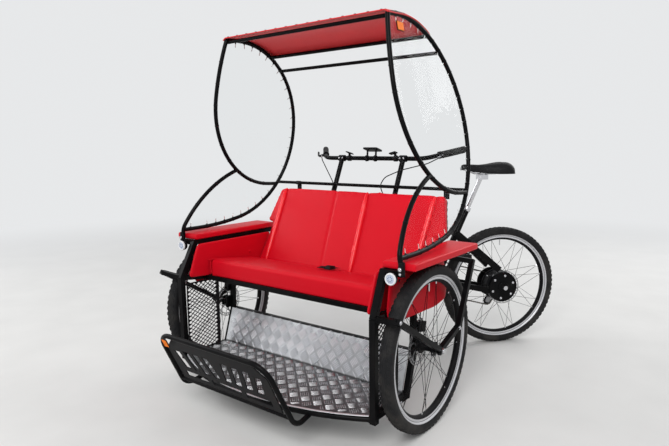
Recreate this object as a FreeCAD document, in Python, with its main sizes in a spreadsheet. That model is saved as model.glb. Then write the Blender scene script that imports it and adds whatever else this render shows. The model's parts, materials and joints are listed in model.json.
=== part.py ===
import FreeCAD
import Part
import math
import os
import types

from FreeCAD import Rotation, Vector

# A front-loading cycle rickshaw: a two-wheeled passenger pod that turns on a kingpin in front of the
# rear half of a bicycle. Millimetres and degrees. X is the vehicle's left, Y its rear and Z up. The
# pod is built about the point on the ground under its axle, and the rear frame about the kingpin with
# the steering straight. Each piece's Placement then moves it to the one shared frame.

SIZES = (  # name, value, what it sets
    ("origin_x", 3, "sideways shift from the axle's middle to the origin"),
    ("origin_y", 389, "shift rearwards from the axle to the origin"),
    ("wheel_radius", 333, "tread radius of all three wheels"),
    ("tyre_width", 54, "width of a tyre"),
    ("rim_radius", 285, "radius where tyre and rim meet"),
    ("rim_depth", 22, "depth of a rim's section"),
    ("rim_width", 30, "width of a rim's section"),
    ("spoke_radius", 1.1, "radius of a spoke"),
    ("spoke_pairs", 16, "pairs of spokes in a wheel"),
    ("half_track", 603, "from the middle to a front wheel's plane"),
    ("axle_radius", 6, "radius of every wheel axle"),
    ("axle_gap", 0.08, "running gap of axle, crank and kingpin"),
    ("disc_radius", 80, "brake disc radius"),
    ("kingpin_y", 620, "from the front axle back to the kingpin"),
    ("kingpin_radius", 14, "kingpin radius"),
    ("steer_turn", 41.1, "how far the rear frame is turned at rest"),
    ("rear_reach", 687.5, "from the kingpin back to the rear axle"),
    ("motor_radius", 80, "radius of the rear hub motor"),
    ("crank_y", 310, "from the kingpin back to the cranks' axle"),
    ("crank_z", 390, "height of the cranks' axle"),
    ("crank_length", 170, "from the cranks' axle to a pedal's"),
    ("crank_turn", 25, "how far the left crank leans back at rest"),
    ("chain_x", 60, "from the middle to the chain's plane"),
    ("sprocket_radius", 42, "radius of the rear sprocket"),
    ("chain_width", 7, "width of the chain"),
    ("post_x", 542, "from the middle to a corner post"),
    ("post_width", 25, "width of a square corner post"),
    ("rail_width", 22, "width of a square floor or seat rail"),
    ("rail_x", 530, "from the middle to a side rail"),
    ("lug_thickness", 8, "thickness of the plates that the front axles start from"),
    ("floor_z", 130, "height of the floor rails' centreline"),
    ("floor_back_y", -41, "where the floor meets the riser"),
    ("floor_front_y", -434, "foremost point of the curved floor edge"),
    ("floor_corner_y", -292, "where the floor edge meets the posts"),
    ("riser_top_y", 10, "rear of the sloping riser"),
    ("riser_top_z", 296, "height of the riser's top rail"),
    ("plate_thickness", 3, "thickness of the floor sheet"),
    ("knee_y", -300, "where a corner post bends"),
    ("knee_z", 515, "height of that bend"),
    ("seat_z", 497, "height of the seat rails' centreline"),
    ("seat_front_y", -160, "front rail of the seat"),
    ("seat_back_y", 262, "rear rail of the seat"),
    ("seat_half_width", 489, "half the width of the cushion"),
    ("cushion_front_y", -170, "front of the cushion"),
    ("cushion_rise", 82, "cushion height at its front"),
    ("cushion_fall", 44, "cushion height at its back"),
    ("back_foot_y", 146, "foot of the backrest's face"),
    ("back_head_y", 350, "head of the backrest's face"),
    ("back_head_z", 902, "height of the backrest at its ends"),
    ("back_crown", 18, "rise of the backrest's top in the middle"),
    ("back_thickness", 55, "thickness of the backrest"),
    ("back_half_foot", 506, "half the backrest's width between the armrests"),
    ("back_half_wing", 538, "half its width just above the armrests"),
    ("back_half_head", 490, "half its width at the head"),
    ("back_wing_rise", 262, "distance up the face to its widest point"),
    ("arm_inner_x", 524, "inner edge of an armrest"),
    ("arm_outer_x", 662, "outer edge of an armrest"),
    ("arm_front_y", -218, "front of an armrest"),
    ("arm_back_y", 330, "back of an armrest"),
    ("arm_z", 685, "underside of an armrest"),
    ("arm_thickness", 27, "thickness of an armrest"),
    ("guard_x", 655, "from the middle to the wheel guards"),
    ("guard_width", 20, "width of a wheel guard's tube"),
    ("hoop_lean", 10.33, "inward lean of the canopy's side hoops"),
    ("hoop_x", 507, "from the middle to a hoop's centre"),
    ("hoop_z", 1266, "height of a hoop's centre"),
    ("hoop_radius", 9.5, "tube radius of a hoop"),
    ("bar_radius", 8, "tube radius of a canopy crossbar"),
    ("pane_thickness", 2, "thickness of a clear side window"),
    ("cover_half_width", 456, "half the width of the canopy's cover"),
    ("cover_thickness", 5, "thickness of the canopy's cover"),
    ("step_radius", 10, "tube radius of the step guard"),
    ("step_foot_y", -470, "foot of the step guard"),
    ("step_foot_z", 106, "height of its foot"),
    ("step_head_y", -607, "head of the step guard"),
    ("step_head_z", 378, "height of its head"),
    ("step_half_width", 314, "half the width of the step guard"),
    ("grip_bar_radius", 11.1, "radius of the handlebar"),
    ("grip_length", 125, "length of a grip"),
    ("grip_radius", 16, "radius of a grip"),
    ("post_radius", 12.5, "radius of a handlebar post"),
    ("cable_radius", 2.5, "radius of a brake cable"),
)

X_AXIS = Vector(1, 0, 0)
Y_AXIS = Vector(0, 1, 0)
Z_AXIS = Vector(0, 0, 1)
SIDES = (("left", 1), ("right", -1))

doc = FreeCAD.newDocument("cycle_rickshaw")
sheet = doc.addObject("Spreadsheet::Sheet", "sizes")
for row, (name, value, note) in enumerate(SIZES, 1):
    sheet.set(f"A{row}", name)
    sheet.set(f"B{row}", str(value))
    sheet.setAlias(f"B{row}", name)
    sheet.set(f"C{row}", note)
doc.recompute()
size = types.SimpleNamespace(**{name: float(sheet.get(name)) for name, value, note in SIZES})

pieces = []


# ---- placing ----

POD = ("-sizes.origin_x", "-sizes.origin_y", "0")
REAR = ("-sizes.origin_x", "sizes.kingpin_y - sizes.origin_y", "0")
STEER = "-sizes.steer_turn"


def along_rear(reach, height):
    """The place of a point on the turned rear frame's middle plane, as sheet expressions."""
    return (
        f"sin(sizes.steer_turn) * {reach} - sizes.origin_x",
        f"sizes.kingpin_y + cos(sizes.steer_turn) * {reach} - sizes.origin_y",
        height,
    )


REAR_HUB = along_rear("sizes.rear_reach", "sizes.wheel_radius")
CRANK_AXLE = along_rear("sizes.crank_y", "sizes.crank_z")


def place(piece, base, turn="0", axis=Z_AXIS):
    """Binds a finished piece's Placement to the sheet and lists it for export."""
    piece.Placement = FreeCAD.Placement(Vector(), Rotation(axis, 1))
    for letter, text in zip("xyz", base):
        piece.setExpression("Placement.Base." + letter, text)
    piece.setExpression("Placement.Rotation.Angle", turn)
    pieces.append(piece)
    return piece


def solid(name, shape, base=POD, turn="0", axis=Z_AXIS):
    """Makes a piece from a shape worked out with Part's own functions."""
    piece = doc.addObject("Part::Feature", name)
    piece.Label = name
    piece.Shape = shape
    return place(piece, base, turn, axis)


# ---- sketched bodies ----

def new_body(name):
    body = doc.addObject("PartDesign::Body", name)
    body.Label = name
    return body


def new_sketch(body, role):
    """A sketch on one of the body's own origin planes, such as YZ_Plane."""
    sketch = body.newObject("Sketcher::SketchObject", f"{body.Label}_sketch")
    plane = [feature for feature in body.Origin.OriginFeatures if feature.Role == role][0]
    sketch.AttachmentSupport = [(plane, "")]
    sketch.MapMode = "FlatFace"
    return sketch


def outline(sketch, rows):
    """Draws a closed outline. A row is a corner (u, v), or (mid u, mid v, u, v) for an arc to it."""
    here = Vector(rows[-1][-2], rows[-1][-1], 0)
    for row in rows:
        there = Vector(row[-2], row[-1], 0)
        if len(row) == 4:
            sketch.addGeometry(Part.Arc(here, Vector(row[0], row[1], 0), there))
        else:
            sketch.addGeometry(Part.LineSegment(here, there))
        here = there


def pad(body, sketch, length, reverse=False, symmetric=True):
    feature = body.newObject("PartDesign::Pad", f"{body.Label}_pad")
    feature.Profile = sketch
    feature.setExpression("Length", length)
    feature.Reversed = reverse
    if symmetric:
        feature.SideType = "Symmetric"
    return feature


def padded_body(name, role, rows, length, **options):
    body = new_body(name)
    sketch = new_sketch(body, role)
    outline(sketch, rows)
    pad(body, sketch, length, **options)
    return body


def turned_body(name, rows):
    """A body turned about X. Rows are (along the axle, radius)."""
    body = new_body(name)
    sketch = new_sketch(body, "XY_Plane")
    outline(sketch, rows)
    turning = body.newObject("PartDesign::Revolution", f"{name}_turning")
    turning.Profile = sketch
    turning.ReferenceAxis = (sketch, ["H_Axis"])
    turning.Angle = 360
    return body


def rounded(body, radius, edges):
    """Rounds the edges that the test picks."""
    doc.recompute()
    base = body.Tip
    names = [f"Edge{i}" for i, edge in enumerate(base.Shape.Edges, 1) if edges(edge)]
    fillet = body.newObject("PartDesign::Fillet", f"{body.Label}_fillet")
    fillet.Base = (base, names)
    fillet.Radius = radius


# ---- tubes and other shapes ----

def fused(shapes):
    return shapes[0].multiFuse(shapes[1:]).removeSplitter()


def mirrored(points):
    """The same points on the other side of the middle plane, in reverse order."""
    return [(-x, y, z) for x, y, z in reversed(points)]


def bar(start, end, width, extra=0.0, height=None):
    """A straight bar of square section, or width by height, lengthened by extra at each end."""
    start = Vector(*start)
    end = Vector(*end)
    along = (end - start).normalize()
    across = along.cross(Z_AXIS)
    if across.Length < 0.05:
        across = X_AXIS
    across = across.normalize() * (width / 2)
    upwards = across.cross(along).normalize() * ((height or width) / 2)
    foot = start - along * extra
    corners = [foot + across * a + upwards * b for a, b in ((1, 1), (-1, 1), (-1, -1), (1, -1), (1, 1))]
    return Part.Face(Part.makePolygon(corners)).extrude(end - start + along * (2 * extra))


def shifted(shape, x=0.0, y=0.0, z=0.0, turn=0.0):
    """A copy turned about X and then moved, with both worked into its geometry."""
    way = FreeCAD.Placement(Vector(x, y, z), Rotation(X_AXIS, turn))
    copy = shape.copy()
    copy.transformShape(way.toMatrix(), True)
    return copy


def rod(start, end, radius):
    start = Vector(*start)
    return Part.makeCylinder(radius, (Vector(*end) - start).Length, start, Vector(*end) - start)


def sleeve(start, end, radius, bore):
    return rod(start, end, radius).cut(rod(start, end, bore))


def bent_path(points, radius):
    """Straight runs through the points, with tangent arcs of the radius where they fit."""
    points = [Vector(*point) for point in points]
    edges = []
    here = points[0]
    for before, corner, after in zip(points, points[1:], points[2:]):
        inward = (corner - before).normalize()
        outward = (after - corner).normalize()
        half_turn = inward.getAngle(outward) / 2
        reach = 0.48 * min((corner - before).Length, (after - corner).Length)
        cut = min(radius * math.tan(half_turn), reach)
        bend = cut / math.tan(half_turn)
        first = corner - inward * cut
        last = corner + outward * cut
        centre_way = (outward - inward).normalize()
        middle = corner + centre_way * (bend / math.cos(half_turn) - bend)
        edges.append(Part.LineSegment(here, first).toShape())
        edges.append(Part.Arc(first, middle, last).toShape())
        here = last
    edges.append(Part.LineSegment(here, points[-1]).toShape())
    return Part.Wire(edges)


def tube(path, radius):
    """A round tube along a path whose runs and arcs are tangent."""
    first = path.OrderedEdges[0]
    start = first.valueAt(first.FirstParameter)
    way = first.tangentAt(first.FirstParameter)
    if (start - path.OrderedVertexes[0].Point).Length > 1e-6:
        start = first.valueAt(first.LastParameter)
        way = first.tangentAt(first.LastParameter)
    ring = Part.Wire(Part.makeCircle(radius, start, way))
    return path.makePipeShell([ring], True, False)


def arc_chain(start, heading, rows):
    """Tangent arcs in a plane. Rows are (radius, turn). Returns (from, through, to) for each arc."""
    arcs = []
    here = Vector(start[0], start[1], 0)
    for radius, turn in rows:
        side = math.copysign(1, turn)
        left = Rotation(Z_AXIS, heading + 90).multVec(X_AXIS)
        centre = here + left * (side * radius)
        arm = here - centre
        middle = centre + Rotation(Z_AXIS, turn / 2).multVec(arm)
        end = centre + Rotation(Z_AXIS, turn).multVec(arm)
        arcs.append((here, middle, end))
        here = end
        heading += turn
    return arcs


def upright(arcs):
    """Arcs of a (y, z) plane as edges at x = 0."""
    return [Part.Arc(*(Vector(0, p.x, p.y) for p in arc)).toShape() for arc in arcs]


def belt(circles, proud=0.0):
    """The outline of a taut belt round circles (y, z, radius), which are listed anticlockwise."""
    count = len(circles)
    leaving = []
    arriving = [None] * count
    for i, (y, z, radius) in enumerate(circles):
        next_y, next_z, next_radius = circles[(i + 1) % count]
        way = Vector(0, next_y - y, next_z - z)
        lean = (radius - next_radius) / way.Length
        way.normalize()
        right = Vector(0, way.z, -way.y)
        normal = way * lean + right * math.sqrt(1 - lean * lean)
        leaving.append(Vector(0, y, z) + normal * (radius + proud))
        arriving[(i + 1) % count] = Vector(0, next_y, next_z) + normal * (next_radius + proud)
    edges = []
    for i, (y, z, radius) in enumerate(circles):
        centre = Vector(0, y, z)
        outward = (arriving[i] - centre) + (leaving[i] - centre)
        turn = (arriving[i] - centre).cross(leaving[i] - centre).x
        if turn < 0:
            outward = outward * -1
        middle = centre + outward.normalize() * (radius + proud)
        edges.append(Part.Arc(arriving[i], middle, leaving[i]).toShape())
        edges.append(Part.LineSegment(leaving[i], arriving[(i + 1) % count]).toShape())
    return Part.Wire(edges)


# ---- wheels ----

WHEELS = (  # name, place, turn, half the hub's length, hub radius, spoke circle, disc plane, sprocket plane
    ("front_left", ("sizes.half_track - sizes.origin_x", POD[1], "sizes.wheel_radius"), "0",
     38, 17, 29, -43, 0),
    ("front_right", ("-sizes.half_track - sizes.origin_x", POD[1], "sizes.wheel_radius"), "0",
     38, 17, 29, 43, 0),
    ("rear", REAR_HUB, STEER, 46, size.motor_radius, size.motor_radius + 6, 58, -size.chain_x),
)


def spoke_set(flange_x, flange_radius):
    """Crossed spokes from both hub flanges to the rim."""
    spokes = []
    count = int(size.spoke_pairs)
    rim = size.rim_radius - size.rim_depth + 4
    swing = 360 / count * (2.5 if flange_radius < 50 else 1.5)
    for side in (1, -1):
        for i in range(count):
            angle = 360 / count * (i + (0.5 if side < 0 else 0))
            way = swing if i % 2 else -swing
            foot = Rotation(X_AXIS, angle).multVec(Vector(0, 0, flange_radius - 3))
            head = Rotation(X_AXIS, angle + way).multVec(Vector(0, 0, rim))
            foot.x = flange_x * side
            head.x = 4 * side
            spokes.append(rod(foot, head, size.spoke_radius))
    return spokes


def wheel_core(half_length, hub_radius, spoke_circle, disc_x, sprocket_x):
    """Rim, spokes, hub, brake disc and any sprocket, which turn as one."""
    width = size.rim_width / 2
    inner = size.rim_radius - size.rim_depth
    section = [(-width, size.rim_radius), (width, size.rim_radius), (width, size.rim_radius - 10),
               (width / 2, inner), (-width / 2, inner), (-width, size.rim_radius - 10)]
    corners = [Vector(x, 0, z) for x, z in section + section[:1]]
    rim = Part.Face(Part.makePolygon(corners)).revolve(Vector(), X_AXIS, 360)
    bore = size.axle_radius + size.axle_gap
    flange_x = half_length - 10
    shapes = [rim, rod((-half_length, 0, 0), (half_length, 0, 0), hub_radius)]
    for side in (1, -1):
        shapes.append(rod((side * flange_x - 2, 0, 0), (side * flange_x + 2, 0, 0), spoke_circle))
    shapes += spoke_set(flange_x, spoke_circle)
    disc_radius = max(size.disc_radius, hub_radius + 14)
    disc = rod((disc_x - 1, 0, 0), (disc_x + 1, 0, 0), disc_radius)
    boss = rod((0, 0, 0), (disc_x, 0, 0), 22)
    for i in range(6):
        centre = Rotation(X_AXIS, 60 * i).multVec(Vector(0, 0, disc_radius * 0.58))
        disc = disc.cut(rod((disc_x - 2, centre.y, centre.z), (disc_x + 2, centre.y, centre.z), 13))
    shapes += [disc, boss]
    if sprocket_x:
        shapes.append(rod((sprocket_x - 2, 0, 0), (sprocket_x + 2, 0, 0), size.sprocket_radius))
        shapes.append(rod((0, 0, 0), (sprocket_x, 0, 0), 22))
    reach = max(half_length, abs(disc_x), abs(sprocket_x)) + 5
    return fused(shapes).cut(rod((-reach, 0, 0), (reach, 0, 0), bore))


for name, base, turn, *core in WHEELS:
    crown = size.wheel_radius - size.tyre_width / 2
    half = size.tyre_width / 2
    slant = half * math.sqrt(0.5)
    tyre = turned_body(f"tyre_{name}", [
        (-size.rim_width / 2, size.rim_radius), (size.rim_width / 2, size.rim_radius), (half, crown),
        (slant, crown + slant, 0, size.wheel_radius), (-slant, crown + slant, -half, crown)])
    place(tyre, base, turn)
    solid(f"wheel_{name}", wheel_core(*core), base, turn)


# ---- pod: canopy hoops ----

FRONT_ARCS = arc_chain((-60, 356.8), -103.7, ((1160.8, 13.04), (439, 74), (440, 12), (1200, 3.9)))
REAR_ARCS = arc_chain((-60, 356.8), 12.5, ((450.4, -102.69), (445, -78.95), (1427.5, -10.86)))
LOWER_ARCS = arc_chain((-228, -550), 90, ((65.5, -29.15), (554, -42.14)))


def hoop():
    """A side hoop, upright at x = 0 and about its own centre, with its foot at the armrest."""
    rear_end = REAR_ARCS[-1][2]
    foot = LOWER_ARCS[0][0]
    lower = upright(LOWER_ARCS)
    stub = Part.LineSegment(Vector(0, foot.x, foot.y - 62), Vector(0, foot.x, foot.y)).toShape()
    inside = 3  # how far short of the lower arc's middle the rear foot ends
    rear_foot = Part.LineSegment(Vector(0, rear_end.x, rear_end.y),
                                 Vector(0, foot.x + inside, rear_end.y)).toShape()
    radius = size.hoop_radius
    shapes = [tube(Part.Wire(upright(FRONT_ARCS)), radius),
              tube(Part.Wire(upright(REAR_ARCS) + [rear_foot]), radius),
              tube(Part.Wire([stub] + lower), radius),
              Part.makeSphere(radius, Vector(0, FRONT_ARCS[0][0].x, FRONT_ARCS[0][0].y))]
    return fused(shapes)


def leant(shape, side):
    """A copy of an upright hoop or window in its place on one side of the pod."""
    foot = Vector(side * size.hoop_x, 0, size.hoop_z)
    way = FreeCAD.Placement(foot, Rotation(Y_AXIS, -side * size.hoop_lean))
    copy = shape.copy()
    copy.transformShape(way.toMatrix(), True)
    return copy


def hoop_x_at(z):
    """How far from the middle a leaning hoop's tube is at a height."""
    return size.hoop_x - (z - size.hoop_z) * math.tan(math.radians(size.hoop_lean))


upright_hoop = hoop()


# ---- pod: floor, posts and seat frame ----

def seat_frame():
    rail = size.rail_width
    x = size.rail_x
    z = size.seat_z
    front = size.seat_front_y
    back = size.seat_back_y
    bars = [bar((-x, front, z), (x, front, z), rail, rail / 2),
            bar((-x, back, z), (x, back, z), rail, rail / 2),
            bar((-x, 60, z), (x, 60, z), rail),
            bar((-x, front, z), (-x, back, z), rail),
            bar((x, front, z), (x, back, z), rail)]
    return fused(bars)


def floor_frame():
    rail = size.rail_width
    x = size.rail_x
    z = size.floor_z
    front = size.floor_corner_y
    back = size.floor_back_y
    top = (size.riser_top_y, size.riser_top_z)
    edge = Part.Arc(Vector(-x, front, z), Vector(0, size.floor_front_y, z), Vector(x, front, z))
    runs = [[(-x, front, z), (-x, back, z), (-x, *top), (-x, size.riser_top_y, size.seat_z - rail / 2)],
            [(x, front, z), (x, back, z), (x, *top), (x, size.riser_top_y, size.seat_z - rail / 2)],
            [(-x, back, z), (x, back, z)],
            [(-x, *top), (x, *top)]]
    bars = [tube(Part.Wire(edge.toShape()), rail / 2)]
    for run in runs[:2]:
        bars += [bar(a, b, rail, rail / 2) for a, b in zip(run[:2], run[1:3])]
        bars.append(bar(run[1], run[2], rail, rail / 2))
        bars.append(bar(run[2], run[3], rail))
    for run in runs[2:]:
        bars += [bar(a, b, rail) for a, b in zip(run, run[1:])]
    for side in (1, -1):
        lug_x = side * (x + rail / 2 + size.lug_thickness / 2) - size.lug_thickness / 2
        bars.append(Part.makeBox(size.lug_thickness, 46, 60, Vector(lug_x, -24, size.wheel_radius - 30)))
    return fused(bars)


def floor_plate():
    """The floor sheet with its curved front, bent up into the riser."""
    rail = size.rail_width / 2
    x = size.rail_x - rail
    low = size.floor_z + rail
    thick = size.plate_thickness
    front = size.floor_front_y
    slope = (size.riser_top_y - size.floor_back_y) / (size.riser_top_z - size.floor_z)
    back = size.floor_back_y - rail - 3
    top = size.riser_top_z + rail - 2
    rise = slope * (top - low)
    section = [(front, low), (back, low), (back + rise, top), (back + rise - thick, top),
               (back - thick, low + thick), (front, low + thick)]
    corners = [Vector(-x, y, z) for y, z in section + section[:1]]
    sheet_metal = Part.Face(Part.makePolygon(corners)).extrude(Vector(2 * x, 0, 0))
    corner = size.floor_corner_y
    arc = Part.Arc(Vector(-x, corner, 0), Vector(0, front + 4, 0), Vector(x, corner, 0)).toShape()
    behind = Part.makePolygon([Vector(x, corner, 0), Vector(x, 100, 0), Vector(-x, 100, 0),
                               Vector(-x, corner, 0)])
    inside = Part.Face(Part.Wire([arc] + behind.Edges)).extrude(Vector(0, 0, 400))
    return sheet_metal.common(inside)


solid("floor_plate", floor_plate())


def corner_post(side):
    """A corner post that bends back above its knee, with the rail under the armrest."""
    x = side * size.post_x
    rail_x = side * (size.rail_x + 4)
    knee = (x, size.knee_y, size.knee_z)
    head = (rail_x, size.arm_front_y - 4, size.arm_z - size.rail_width / 2)
    tail = (rail_x, size.arm_back_y - 20, size.arm_z - size.rail_width / 2)
    foot = (x, size.floor_corner_y - 2, size.floor_z - 13)
    width = size.post_width
    lamp_arm = (side * 606, head[1], head[2])
    shapes = [bar(foot, knee, width), bar(knee, head, width, 3), bar(head, tail, size.rail_width, 8),
              bar(head, lamp_arm, size.rail_width)]
    knee_rail = (side * size.rail_x, size.seat_front_y, size.seat_z)
    shapes.append(bar(knee, knee_rail, size.rail_width))
    return fused(shapes)


def wheel_guard(side):
    """The outrigger, brace and leg that hold a front axle's outer end."""
    x = side * size.guard_x
    knee_x = side * (size.post_x + size.post_width / 2)
    runs = [(knee_x, size.knee_y - 2, size.knee_z + 2), (x, -322, 530), (x, 0, 335), (x, 168, 390),
            (x, 284, 640), (side * 540, 205, 664)]
    width = size.guard_width
    shapes = [bar(a, b, width, 0 if i in (0, 4) else width / 2 - 2)
              for i, (a, b) in enumerate(zip(runs, runs[1:]))]
    shapes[0] = bar(runs[0], runs[1], width, 0).fuse(bar(runs[1], runs[2], width, 8))
    plate = rod((x - 5, 0, size.wheel_radius), (x + 5, 0, size.wheel_radius), 19)
    bore = rod((x - 20, 0, size.wheel_radius), (x + 20, 0, size.wheel_radius), size.axle_radius)
    return fused(shapes + [plate]).cut(bore)


seat_rails = seat_frame()
solid("seat_frame", seat_rails)
posts = {}
for name, side in SIDES:
    posts[name] = corner_post(side).cut(seat_rails).cut(leant(upright_hoop, side))
    solid(f"corner_post_{name}", posts[name])
    solid(f"wheel_guard_{name}", wheel_guard(side).cut(posts[name]))
floor_rails = floor_frame().cut(posts["left"]).cut(posts["right"])
solid("floor_frame", floor_rails)


def steering_yoke():
    """The two arms, upright and lugs that carry the kingpin behind the seat."""
    back = size.seat_back_y + size.rail_width / 2
    y = size.kingpin_y
    shapes = [bar((0, y - 62, 374), (0, y - 62, 526), 36)]
    for side in (1, -1):
        shapes.append(bar((side * 210, back, size.seat_z), (side * 12, y - 62, 505), 28))
        shapes.append(bar((side * 210, back + 8, size.seat_z - 8), (side * 12, y - 62, 400), 22))
    for z in (374, 514):
        shapes.append(Part.makeBox(56, 92, 12, Vector(-28, y - 66, z)))
    shapes.append(rod((0, y, 376), (0, y, 524), size.kingpin_radius))
    yoke = fused(shapes)
    return yoke.cut(Part.makeBox(1200, 100, 200, Vector(-600, back - 100, 380)))


solid("steering_yoke", steering_yoke())


# ---- pod: soft seat and side panels ----

seat_low = size.seat_z + size.rail_width / 2
cushion = padded_body("seat_cushion", "YZ_Plane", [
    (size.cushion_front_y, seat_low), (size.back_foot_y, seat_low),
    (size.back_foot_y, seat_low + size.cushion_fall),
    (size.cushion_front_y + 25, seat_low + size.cushion_rise),
    (size.cushion_front_y + 7, seat_low + size.cushion_rise - 7,
     size.cushion_front_y, seat_low + size.cushion_rise - 25)], "2 * sizes.seat_half_width")
place(cushion, POD)

back_lean = math.degrees(math.atan2(size.back_head_y - size.back_foot_y, size.back_head_z - seat_low))
back_tall = math.hypot(size.back_head_y - size.back_foot_y, size.back_head_z - seat_low)
sheet.set("E1", f"{back_lean:.4f}")
sheet.setAlias("E1", "back_lean")
backrest = padded_body("backrest", "XZ_Plane", [
    (-size.back_half_foot, 0), (size.back_half_foot, 0), (size.back_half_foot, size.back_wing_rise - 7),
    (size.back_half_wing, size.back_wing_rise), (size.back_half_head, back_tall),
    (0, back_tall + size.back_crown, -size.back_half_head, back_tall),
    (-size.back_half_wing, size.back_wing_rise), (-size.back_half_foot, size.back_wing_rise - 7)],
    "sizes.back_thickness", symmetric=False, reverse=True)
place(backrest, (POD[0], "sizes.back_foot_y - sizes.origin_y", "sizes.seat_z + sizes.rail_width / 2 + 1"),
      "-sizes.back_lean", X_AXIS)

PANELS = (  # distance from the middle, thickness, outline in (y, z)
    (503.5, 12, ((-287, 518), (-170, 508), (145, 508), (229, 670), (-230, 670))),
    (551.5, 9, ((-262, 520), (-215, 468), (150, 455), (250, 470), (258, 530), (226, 645), (-218, 645))),
)


def side_panel(side):
    """The two red sheets that close a side of the seat below its armrest."""
    sheets = []
    for x, thick, rows in PANELS:
        start = side * x - thick / 2
        corners = [Vector(start, y, z) for y, z in rows + rows[:1]]
        sheets.append(Part.Face(Part.makePolygon(corners)).extrude(Vector(thick, 0, 0)))
    return Part.makeCompound(sheets)


for name, side in SIDES:
    solid(f"side_panel_{name}", side_panel(side).cut(posts[name]))
    arm = padded_body(f"armrest_{name}", "XY_Plane", [
        (side * size.arm_inner_x, size.arm_front_y), (side * size.arm_outer_x, size.arm_front_y),
        (side * size.arm_outer_x, size.arm_back_y), (side * size.arm_inner_x, size.arm_back_y)],
        "sizes.arm_thickness", symmetric=False)
    rounded(arm, 7, lambda edge: True)
    place(arm, (POD[0], POD[1], "sizes.arm_z"))


# ---- pod: mesh panels and step guard ----

def mesh_panel(side):
    """Expanded metal beside the passengers' feet: a sheet with rows of diamond openings."""
    x = side * (size.rail_x - size.rail_width / 2)
    low, high, front, back = 141, 486, -288, -92
    pitch, row_step = 28, 10
    half_y, half_z = 11.4, 8.1
    edge = 4
    border = [(front, low), (back, low), (back, high), (front, high), (front, low)]
    wires = [Part.makePolygon([Vector(x, y, z) for y, z in border])]
    for row in range(int((high - low - 2 * (edge + half_z)) / row_step) + 1):
        z = low + edge + half_z + row * row_step
        shift = pitch / 2 if row % 2 else 0
        for column in range(int((back - front) / pitch) + 1):
            y = front + edge + half_y + column * pitch + shift
            if y + half_y > back - edge:
                continue
            corners = [(y - half_y, z), (y, z - half_z), (y + half_y, z), (y, z + half_z), (y - half_y, z)]
            wires.append(Part.makePolygon([Vector(x, a, b) for a, b in corners]))
    face = Part.makeFace(wires, "Part::FaceMakerBullseye")
    return face.extrude(Vector(side * 3, 0, 0))


for name, side in SIDES:
    solid(f"mesh_panel_{name}", mesh_panel(side))


def step_guard():
    x = size.step_half_width
    foot = (size.step_foot_y, size.step_foot_z)
    head = (size.step_head_y, size.step_head_z)
    half = [(x - 6, -378, size.floor_z - 8), (x, *foot), (x - 14, *head)]
    path = bent_path(half + mirrored(half), 74)
    rail_z = 148
    rail_y = foot[0] + (head[0] - foot[0]) * (rail_z - foot[1]) / (head[1] - foot[1])
    rail = rod((-x + 4, rail_y, rail_z), (x - 4, rail_y, rail_z), 7)
    return tube(path, size.step_radius).fuse(rail).removeSplitter()


STEP_SLOTS = (  # middle, half width, foot, height, slant
    (-176, 68, 82, 30, 0), (0, 84, 82, 30, 0), (176, 68, 82, 30, 0),
    (-206, 17, 136, 92, -22), (-148, 17, 136, 104, -22), (-90, 17, 136, 104, -22), (-32, 17, 136, 104, -22),
    (32, 17, 136, 104, 22), (90, 17, 136, 104, 22), (148, 17, 136, 104, 22), (206, 17, 136, 92, 22),
)


def step_plate():
    """The cut-out plate inside the step guard, drawn upright and then leant forward."""
    rise = size.step_head_z - size.step_foot_z
    lean = math.degrees(math.atan2(size.step_foot_y - size.step_head_y, rise))
    tall = math.hypot(size.step_foot_y - size.step_head_y, rise)
    low, high, x = 62, tall - size.step_radius + 1, size.step_half_width - 32
    rows = [(-x, low), (x, low), (x, high - 58), (x - 62, high), (62 - x, high), (-x, high - 58)]
    wires = [Part.makePolygon([Vector(u, 0, v) for u, v in rows + rows[:1]])]
    for middle, half, v, height, slope in STEP_SLOTS:
        slot = [(middle - half, v), (middle + half, v), (middle + half + slope, v + height),
                (middle - half + slope, v + height)]
        wires.append(Part.makePolygon([Vector(a, 0, b) for a, b in slot + slot[:1]]))
    plate = Part.makeFace(wires, "Part::FaceMakerBullseye").extrude(Vector(0, 4, 0))
    plate.translate(Vector(0, -2, 0))
    plate.rotate(Vector(), X_AXIS, lean)
    plate.translate(Vector(0, size.step_foot_y, size.step_foot_z))
    return plate


guard = step_guard()
plate = step_plate()
solid("step_guard", guard.cut(floor_rails))
solid("step_plate", plate.cut(guard))


# ---- pod: canopy ----

def pane(points):
    """A clear sheet inside a closed chain of (y, z) points, trimmed to the hoop's tube."""
    corners = [Vector(-size.pane_thickness / 2, y, z) for y, z in points + points[:1]]
    blank = Part.Face(Part.makePolygon(corners)).extrude(Vector(size.pane_thickness, 0, 0))
    return max(blank.cut(upright_hoop).Solids, key=lambda piece: piece.Volume)


def window():
    """The upper and lower panes of one side."""
    step = 12.0
    front = [(p.y, p.z) for p in Part.Wire(upright(FRONT_ARCS)).discretize(Distance=step)]
    rear = [(p.y, p.z) for p in Part.Wire(upright(REAR_ARCS)).discretize(Distance=step)]
    lower = [(p.y, p.z) for p in Part.Wire(upright(LOWER_ARCS)).discretize(Distance=step)]
    meeting = FRONT_ARCS[-1][2].y
    rear_upper = [(y, z) for y, z in rear if z > meeting]
    rear_lower = [(y, z) for y, z in rear if z <= meeting]
    front_lower = [(y, z) for y, z in front if y > lower[-1][0] and z < 0]
    upper_pane = pane(front + rear_upper[::-1])
    lower_pane = pane(lower + front_lower + rear_lower)
    return Part.makeCompound([upper_pane, lower_pane])


CROSSBARS = ((-50, 1612), (247, 1577), (326, 1518), (403, 929))  # (y, z)

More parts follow.
